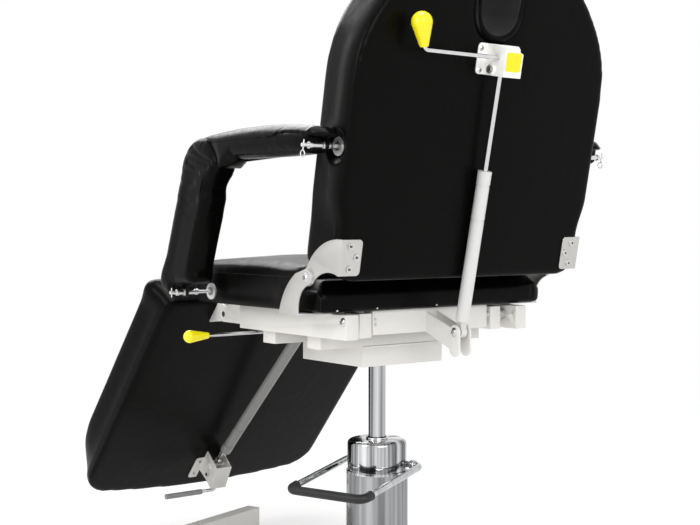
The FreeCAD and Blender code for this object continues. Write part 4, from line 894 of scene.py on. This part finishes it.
def ledge(piece, places, out):
    """Let the top panel of an arm stand over its side along the seam."""
    points = points_of(piece)
    x, y, z = own_points(points, CHAIR).T
    ys, zs = np.array(places).T
    rise = z - np.interp(y, ys, zs)
    flank = fade(np.abs(np.abs(x) - ARM_MIDDLE), *LEDGE_FLANK_BAND)
    above = np.exp(-np.maximum(rise, 0) / LEDGE_ABOVE)
    below = -LEDGE_BACK_SHARE * np.exp(np.minimum(rise, 0) / LEDGE_BELOW)
    step = np.where(rise > 0, above, below) * out
    moved = points.copy()
    moved[:, 0] += np.sign(np.abs(x) - ARM_MIDDLE) * np.sign(x) * flank * step * MM
    move_points(piece, moved)


def mirrored(piece, name, body, source):
    """Copy of a left piece on the chair's right side, in place of the right CAD node."""
    mesh = piece.data.copy()
    other = linked(name, mesh)
    points = points_of(other)
    points[:, 0] = 2 * COLUMN.x * MM - points[:, 0]
    move_points(other, points)
    mesh.flip_normals()
    dress(other, body, piece.data.materials[0])
    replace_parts(other, source)


arm = upholstered("arm_upholstery_left", "arm_left", CHAIR, ["arm_pad_left"], voxel=0.0038,
                  rounds=3, room=arm_room)
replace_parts(arm, "arm_pad_left")
post = upholstered("post_upholstery_left", "post_left", CHAIR, ["post_pad_left"], voxel=0.0038,
                   rounds=3, room=post_room)
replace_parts(post, "post_pad_left")

LIP_BAND = (268, 276)
LIP_UNDER_BAND = (-384, -366)
LIP_SIDE_BAND = (345, 377)
LIP_CORNER_BAND = (262, 300)
LIP_RISE, LIP_CORNER_IN = 5, 14
POST_FRONT_BAND = (20, 55)
POST_FRONT_LOW_BAND = (70, 130)
POST_FRONT_HIGH_BAND = (-350, -260)
POST_OUTER_BAND = (352, 374)
POST_REAR_BAND = (20, 42)
POST_REAR_HIGH_BAND = (-340, -312)
POST_FLAT_BANDS = ((9, (100, 130)), (13, (262, 296)))
POST_FULLER, POST_WIDER = 8, 2.5


def shape_arm(points):
    """Thin rear lip over the rod's disc, with its outer corner drawn in."""
    x, y, z = own_points(points, CHAIR).T
    under = fade(-z, *LIP_UNDER_BAND) * fade(y, *LIP_BAND)
    corner = fade(np.abs(x), *LIP_SIDE_BAND) * fade(y, *LIP_CORNER_BAND)
    return np.stack([0 * x, -LIP_CORNER_IN * corner, LIP_RISE * under], 1)


def shape_post(points):
    """Fuller outer front corner, and a flatter rear under the elbow."""
    x, y, z = own_points(points, CHAIR).T
    line = SEAT_ROD[0] + (z - SEAT_ROD[1]) * (elbow.y - SEAT_ROD[0]) / (elbow.z - SEAT_ROD[1])
    front = fade(line - y, *POST_FRONT_BAND) * fade(z, *POST_FRONT_LOW_BAND)
    front = front * fade(-z, *POST_FRONT_HIGH_BAND)
    outer = fade(np.abs(x), *POST_OUTER_BAND) * front
    rear = fade(y - line, *POST_REAR_BAND) * fade(-z, *POST_REAR_HIGH_BAND)
    flat = sum(depth * fade(z, *band) for depth, band in POST_FLAT_BANDS) * rear
    return np.stack([np.sign(x) * POST_WIDER * outer, -POST_FULLER * front - flat, 0 * z], 1)


reshape(arm, CHAIR, shape_arm)
reshape(post, CHAIR, shape_post)
ledge(arm, ARM_SEAM, out=1.6)
for x in (ARM_INNER, ARM_OUTER):
    crease(arm, on_side(x, ARM_SEAM), width=2.4, depth=1.6)
    crease(post, on_side(x, POST_SEAM), width=5, depth=1.6)
    for fold in ELBOW_FOLDS:
        crease(post, on_side(x, fold), width=5, depth=2.2)
    for fold in POST_FOLDS:
        crease(post, on_side(x, fold), width=8, depth=1.4)
mirrored(arm, "arm_upholstery_right", "arm_right", "arm_pad_right")
mirrored(post, "post_upholstery_right", "post_right", "post_pad_right")


# Stitches

SEAM_TO_STITCH = 4
STITCH_STEP = 5.5
STITCH_SIZE = (1.9, 0.42, 0.42)


def walked(path, spacing):
    """Points at even spacing along a path, each with the direction of its run."""
    found = []
    left = 0.0
    for start, end in zip(path, path[1:]):
        run = end - start
        if run.length < TINY:
            continue
        while left < run.length:
            found.append((start + run.normalized() * left, run.normalized()))
            left += spacing
        left -= run.length
    return found


def stitch_row(name, body, cover, path, offset):
    """Row of stitches that lie on a cover, so many millimetres beside a seam."""
    deselect()
    bpy.ops.mesh.primitive_uv_sphere_add(segments=6, ring_count=4, radius=1.0)
    bead = bpy.context.object
    skin = BVHTree.FromPolygons([v.co for v in cover.data.vertices],
                                [p.vertices[:] for p in cover.data.polygons])
    size = Matrix.Scale(MM, 4) @ Matrix.Diagonal((*STITCH_SIZE, 1))
    rows = bmesh.new()
    for point, run in walked(path, STITCH_STEP * MM):
        spot, normal, _, _ = skin.find_nearest(point)
        across = normal.cross(run).normalized()
        spot, normal, _, _ = skin.find_nearest(spot + across * offset * MM)
        turn = Matrix((run, normal.cross(run).normalized(), normal)).transposed().to_4x4()
        place = Matrix.Translation(spot) @ turn @ size
        bead.data.transform(place)
        rows.from_mesh(bead.data)
        bead.data.transform(place.inverted())
    mesh = bpy.data.meshes.new(name)
    rows.to_mesh(mesh)
    rows.free()
    bpy.data.objects.remove(bead)
    all_smooth(mesh)
    dress(linked(name, mesh), body, thread)


stitch_row("backrest_front_stitches", "backrest", backrest, through(BACK, front_back_seam),
           offset=SEAM_TO_STITCH)
stitch_row("legrest_stitches", "legrest", legrest, through(LEG, front_leg_seam),
           offset=SEAM_TO_STITCH)
for side, label in SIDES:
    stitch_row("seat_stitches_" + label, "seat_frame", seat, seat_seam(side),
               offset=-side * SEAM_TO_STITCH)


# Small parts

FACING = 0.9
SOCKET_RISE, SOCKET_SINK, SOCKET_RIM_SHARE = 0.7, 0.5, 0.3
HEAD_INSET_SHARE, HEAD_RISE_SHARE = 0.2, 0.3
SCREW_TOP, SCREW_FOOT = 89.4, 87.9
LEG_SCREW_TOP = 33.6


def cylinder(name, part, centre, axis, radius, length, sides=48):
    """Plain round start for a small part, along an axis of a part of the chair."""
    direction = (part.to_3x3() @ Vector(axis)).normalized()
    turn = direction.to_track_quat("Z", "Y").to_euler()
    deselect()
    bpy.ops.mesh.primitive_cylinder_add(vertices=sides, radius=radius * MM, depth=length * MM,
                                        location=part @ Vector(centre), rotation=turn)
    piece = bpy.context.object
    piece.name = name
    bpy.ops.object.transform_apply(location=True, rotation=True, scale=True)
    return piece, direction


def select_faces(piece, test):
    """Go to edit mode with only the faces selected whose normal passes a test."""
    alone(piece)
    mode("EDIT")
    bpy.ops.mesh.select_mode(type="FACE")
    bpy.ops.mesh.select_all(action="DESELECT")
    mode("OBJECT")
    for face in piece.data.polygons:
        face.select = test(face)
    mode("EDIT")


def ring(name, body, part, centre, axis, outer, inner, length, finish, edge=0.4):
    """Ring that is cut from a disc: both ends are inset and bridged through."""
    piece, direction = cylinder(name, part, centre, axis, outer, length)
    select_faces(piece, lambda face: abs(face.normal.dot(direction)) > FACING)
    bpy.ops.mesh.inset(thickness=(outer - inner) * MM)
    bpy.ops.mesh.bridge_edge_loops()
    mode("OBJECT")
    finish_edges(piece, edge)
    dress(piece, body, finish)


def joined(name, pieces):
    """One piece from several."""
    deselect()
    for piece in pieces:
        piece.select_set(True)
    bpy.context.view_layer.objects.active = pieces[0]
    bpy.ops.object.join()
    pieces[0].name = name
    return pieces[0]


def hex_sockets(name, body, part, places, axis, radius):
    """Hex sockets in the tops of dome screws: a low rim with a sunk floor, dark as painted shade.
    """
    pieces = []
    for number, place in enumerate(places):
        piece, direction = cylinder(name + str(number), part, place, axis, radius, SOCKET_RISE, 6)
        select_faces(piece, lambda face: face.normal.dot(direction) > FACING)
        bpy.ops.mesh.inset(thickness=SOCKET_RIM_SHARE * radius * MM)
        sink = -direction * SOCKET_SINK * MM
        bpy.ops.mesh.extrude_region_move(TRANSFORM_OT_translate={"value": sink})
        mode("OBJECT")
        pieces.append(piece)
    piece = joined(name, pieces)
    smooth_by_angle(piece, HARD_ANGLE)
    dress(piece, body, socket_steel_painted_shade)


FLANGE_SCREWS = [(287.3, 76.9), (271.6, 56.2), (285.3, 34.7)]
BRACKET_SCREWS = [(35.7, 449.6), (33.8, 409)]
LEG_SCREWS = [(33, 565.6), (33, 609.7), (182.3, 18), (182.3, 48)]


def pairs(places, n):
    """Places on both sides of the middle, at one height n."""
    return [(side * x, along, n) for x, along in places for side in (1, -1)]


hex_sockets("backrest_sockets", "backrest", BACK,
            pairs(FLANGE_SCREWS + BRACKET_SCREWS, SCREW_TOP), (0, 0, 1), radius=2.6)
hex_sockets("legrest_sockets", "legrest", LEG, pairs(LEG_SCREWS, LEG_SCREW_TOP), (0, 0, -1),
            radius=2.6)
for side, label in SIDES:
    hex_sockets("frame_sockets_" + label, "seat_frame", CHAIR,
                [(side * 240.4, 192, 34), (side * 319.4, 183, 120)], (side, 0, 0), radius=3.6)
hex_sockets("clevis_socket", "seat_frame", CHAIR, [(20.9, 259, 9)], (1, 0, 0), radius=3.4)
for number, place in enumerate(pairs(FLANGE_SCREWS, SCREW_FOOT)):
    ring("backrest_washer_%d" % number, "backrest", BACK, place, (0, 0, 1), outer=6.6, inner=2.0,
         length=1.6, finish=bolt_steel, edge=0.7)


def bolt_head(name, body, part, place, axis, radius, rise, sides, finish):
    """Bolt head or nut with a chamfered edge."""
    piece, direction = cylinder(name, part, place, axis, radius, rise, sides)
    select_faces(piece, lambda face: face.normal.dot(direction) > FACING)
    bpy.ops.mesh.inset(thickness=radius * HEAD_INSET_SHARE * MM)
    bpy.ops.transform.translate(value=direction * rise * HEAD_RISE_SHARE * MM)
    mode("OBJECT")
    smooth_by_angle(piece)
    dress(piece, body, finish)


bolt_head("release_nut", "backrest", BACK, (25, 413.3, 106), (1, 0, 0), radius=8.6, rise=6.4,
          sides=6, finish=dull_steel)
for side, label in SIDES:
    for name, body, part, place in (
            ("seat_rod_washer_", "seat_frame", CHAIR, (side * 294, *SEAT_ROD)),
            ("back_rod_washer_", "backrest", BACK, (side * 311, *BACK_ROD))):
        ring(name + label, body, part, place, (1, 0, 0), outer=9, inner=3.6, length=1.4,
             finish=dull_steel)
for number, z in enumerate((34, 24)):
    bolt_head("crossbar_bolt_%d" % number, "seat_frame", CHAIR, (145, 176, z), (0, 1, 0),
              radius=2.8, rise=2.4, sides=16, finish=bolt_steel)
for number, (x, z) in enumerate(((252, 57), (157, 58), (6, 58))):
    bolt_head("cover_staple_%d" % number, "seat_frame", CHAIR, (x, 195.5, z), (0, 1, 0),
              radius=1.8, rise=2.2, sides=12, finish=bolt_steel)

GRIP_SHRINK = 2.2
grip = merged_copy("pedal_grip", ["pedal_sleeve"])
move_points(grip, points_of(grip) - normals_of(grip) * GRIP_SHRINK * MM)
smooth_by_angle(grip)
dress(grip, "pedal", rubber)
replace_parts(grip, "pedal_sleeve")

ring("piston_wiper", "base", BASE, (0, 0, CAP_TOP + 1.6), (0, 0, 1), outer=23, inner=18.2,
     length=3.6, finish=rod_chrome, edge=0.8)
ring("piston_seal", "base", BASE, (0, 0, CAP_TOP + 3.9), (0, 0, 1), outer=20.4, inner=18.2,
     length=1.4, finish=rubber)
ring("pump_band", "base", BASE, (0, 0, 81), (0, 0, 1), outer=68, inner=65.6, length=6,
     finish=chrome, edge=0.8)
for side, label in reversed(SIDES):
    ring("pedal_collar_" + label, "pedal", BASE, (-33, side * 69, 266), (0, 1, 0), outer=10,
         inner=7.05, length=12, finish=rod_chrome, edge=1.2)


PLATE_SIZE = (38, 35, 0.7)
PLATE_PLACE = (1.5, 430.5, 140.3)
PLATE_CORNER = 4.0


def yellow_plate():
    """Bare yellow plate on the web of the release bracket."""
    deselect()
    bpy.ops.mesh.primitive_cube_add(size=1.0, scale=PLATE_SIZE)
    piece = bpy.context.object
    piece.name = "release_plate"
    bpy.ops.object.transform_apply(location=True, rotation=True, scale=True)
    alone(piece)
    mode("EDIT")
    bpy.ops.mesh.select_mode(type="EDGE")
    bpy.ops.mesh.select_all(action="DESELECT")
    mode("OBJECT")
    for edge in piece.data.edges:
        ends = [piece.data.vertices[i].co for i in edge.vertices]
        edge.select = abs(ends[0].z - ends[1].z) > PLATE_SIZE[2] / 2
    mode("EDIT")
    bpy.ops.mesh.bevel(offset=PLATE_CORNER, segments=5)
    mode("OBJECT")
    piece.data.transform(BACK @ Matrix.Translation(PLATE_PLACE))
    smooth_by_angle(piece)
    dress(piece, "backrest", yellow)


yellow_plate()


def tube_along(name, path, radius, sizes=None, closed=False, sides=3):
    """Mesh tube through points, as a smooth curve."""
    curve = bpy.data.curves.new(name, "CURVE")
    curve.dimensions = "3D"
    curve.bevel_depth = radius * MM
    curve.bevel_resolution = sides
    curve.resolution_u = 3
    spline = curve.splines.new("NURBS")
    spline.points.add(len(path) - 1)
    for number, point in enumerate(path):
        spline.points[number].co = (*point, 1)
        if sizes:
            spline.points[number].radius = sizes[number]
    spline.order_u = 3
    spline.use_cyclic_u = closed
    spline.use_endpoint_u = not closed
    curve.use_fill_caps = not closed
    piece = linked(name, curve)
    alone(piece)
    bpy.ops.object.convert(target="MESH")
    piece = bpy.context.object
    all_smooth(piece.data)
    return piece


RIM_RADIUS, RIM_SWELL, PIPING_RADIUS = 3.4, 0.9, 3.0


def face_hole_edges():
    """Rolled rim round the rear of the face hole, thicker at its foot, and piping in front."""
    path = slot_path(7, BACK_REAR + 1)[:-1]
    low = min(v for _, v, _ in path)
    high = max(v for _, v, _ in path)
    sizes = [1 + RIM_SWELL * ((high - v) / (high - low)) ** 4 for _, v, _ in path]
    rim = tube_along("face_hole_rim", through(BACK, path), RIM_RADIUS, sizes, closed=True)
    dress(rim, "backrest", hide)
    path = slot_path(9, -50)[:-1]
    piping = tube_along("face_hole_piping", through(BACK, path), PIPING_RADIUS, closed=True)
    dress(piping, "backrest", hide)


face_hole_edges()

BEAD_RADIUS, BEAD_STEP = 2.0, 2.2


def weld(name, body, part, start, end):
    """Weld bead with its ripples, between two places of a part."""
    start, end = through(part, (start, end))
    count = max(int((end - start).length / (BEAD_STEP * MM)), 4)
    path = [start.lerp(end, step / count) for step in range(count + 1)]
    sizes = [0.85 + 0.15 * cos(step * pi) + 0.1 * noise.noise(point * 300)
             for step, point in enumerate(path)]
    piece = tube_along(name, path, BEAD_RADIUS, sizes, sides=2)
    dress(piece, body, white)


WELDS = (
    ("box_front", "subframe", (-106, -86, -28), (-106, -116, -28)),
    ("box_front_left", "subframe", (106, -116, -28), (106, -86, -28)),
    ("box_rear", "subframe", (-104, 87, -28.5), (104, 87, -28.5)),
    ("box_nose", "subframe", (-104, -114.5, -28.5), (104, -114.5, -28.5)),
    ("clevis_inner", "seat_frame", (12, 175, 44), (12, 175, 5)),
    ("clevis_outer", "seat_frame", (-12, 175, 44), (-12, 175, 5)),
    ("claw_left", "seat_frame", (207, 96, 48.6), (207, 156, 48.6)),
    ("claw_right", "seat_frame", (-207, 96, 48.6), (-207, 156, 48.6)),
    ("claw_left_outer", "seat_frame", (236.4, 96, 47.6), (236.4, 156, 47.6)),
    ("claw_right_outer", "seat_frame", (-236.4, 96, 47.6), (-236.4, 156, 47.6)),
    ("beam_front", "base", (-40, -516, 57), (40, -516, 57)),
    ("beam_rear", "base", (-40, 244, 57), (40, 244, 57)),
    ("plate_front_right", "base", (-95, -95, 58), (-41, -95, 58)),
    ("plate_left", "base", (40.5, -94, 58), (40.5, 94, 58)),
    ("plate_right", "base", (-40.5, -94, 58), (-40.5, 94, 58)),
)
for label, body, start, end in WELDS:
    weld("weld_" + label, body, BASE if body == "base" else CHAIR, start, end)


# Stage, light and camera

def studio_floor():
    """Pale floor that keeps the chair's shadow and fades to the white of the background."""
    deselect()
    bpy.ops.mesh.primitive_circle_add(vertices=96, radius=14, fill_type="NGON")
    floor = bpy.context.object
    floor.name = "studio_floor"
    f = Finish("studio_floor")
    far = f.node("ShaderNodeVectorMath", {"operation": "LENGTH"}, {0: f.place()}, output="Value")
    share = (0.78 + (far - 1.2) * 0.12).at_most(1.0).at_least(0.0)
    paint = f.node("ShaderNodeBsdfDiffuse", {}, {"Color": (0.84, 0.84, 0.83, 1)})
    glow = f.node("ShaderNodeEmission", {}, {"Color": (1, 1, 1, 1), "Strength": 1.0})
    mixed = f.node("ShaderNodeMixShader", {}, {0: f.backdrop_rays() * share, 1: paint, 2: glow})
    f.end(mixed)
    floor.data.materials.append(f.owner)


SKY_LIGHT = 0.86


def studio_world():
    """White behind the chair, and an even soft light on it."""
    world = bpy.data.worlds.new("studio")
    bpy.context.scene.world = world
    f = Finish("studio", world)
    strength = SKY_LIGHT + f.backdrop_rays() * (1 - SKY_LIGHT)
    sky = f.node("ShaderNodeBackground", {}, {"Color": (1, 1, 1, 1), "Strength": strength})
    f.end(sky, "ShaderNodeOutputWorld")


def lamp(name, place, aim, size, power):
    light = bpy.data.lights.new(name, "AREA")
    light.shape = "RECTANGLE"
    light.size, light.size_y = size
    light.energy = power
    piece = linked(name, light)
    piece.location = place
    piece.rotation_euler = (Vector(aim) - Vector(place)).to_track_quat("-Z", "Y").to_euler()


studio_floor()
studio_world()
lamp("top_light", (0.2, 0.4, 3.2), (0, 0, 0.5), (1.2, 1.2), 40)
lamp("side_light", (3.2, 0.2, 2.0), (0, 0, 0.7), (0.8, 1.6), 28)
lamp("rear_light", (1.2, 3.9, 2.0), (0, 0, 0.7), (2.4, 1.2), 46)
lamp("front_light", (-0.6, -2.6, 3.0), (0, 0, 0.8), (2.8, 1.4), 80)

CAMERA_PLACE = Vector((1.6488, 2.2716, 0.782))
CAMERA_TURN = 37.52
CAMERA_PITCH = 1.94
CAMERA_LENS = 65.18
CAMERA_SENSOR = 36
lens = bpy.data.cameras.new("camera")
lens.lens = CAMERA_LENS
lens.sensor_width = CAMERA_SENSOR
camera = linked("camera", lens)
camera.location = CAMERA_PLACE
turn = radians(CAMERA_TURN)
pitch = radians(CAMERA_PITCH)
gaze = Vector((-sin(turn) * cos(pitch), -cos(turn) * cos(pitch), -sin(pitch)))
camera.rotation_euler = gaze.to_track_quat("-Z", "Y").to_euler()
bpy.context.scene.camera = camera
bpy.context.scene.view_settings.view_transform = "Standard"
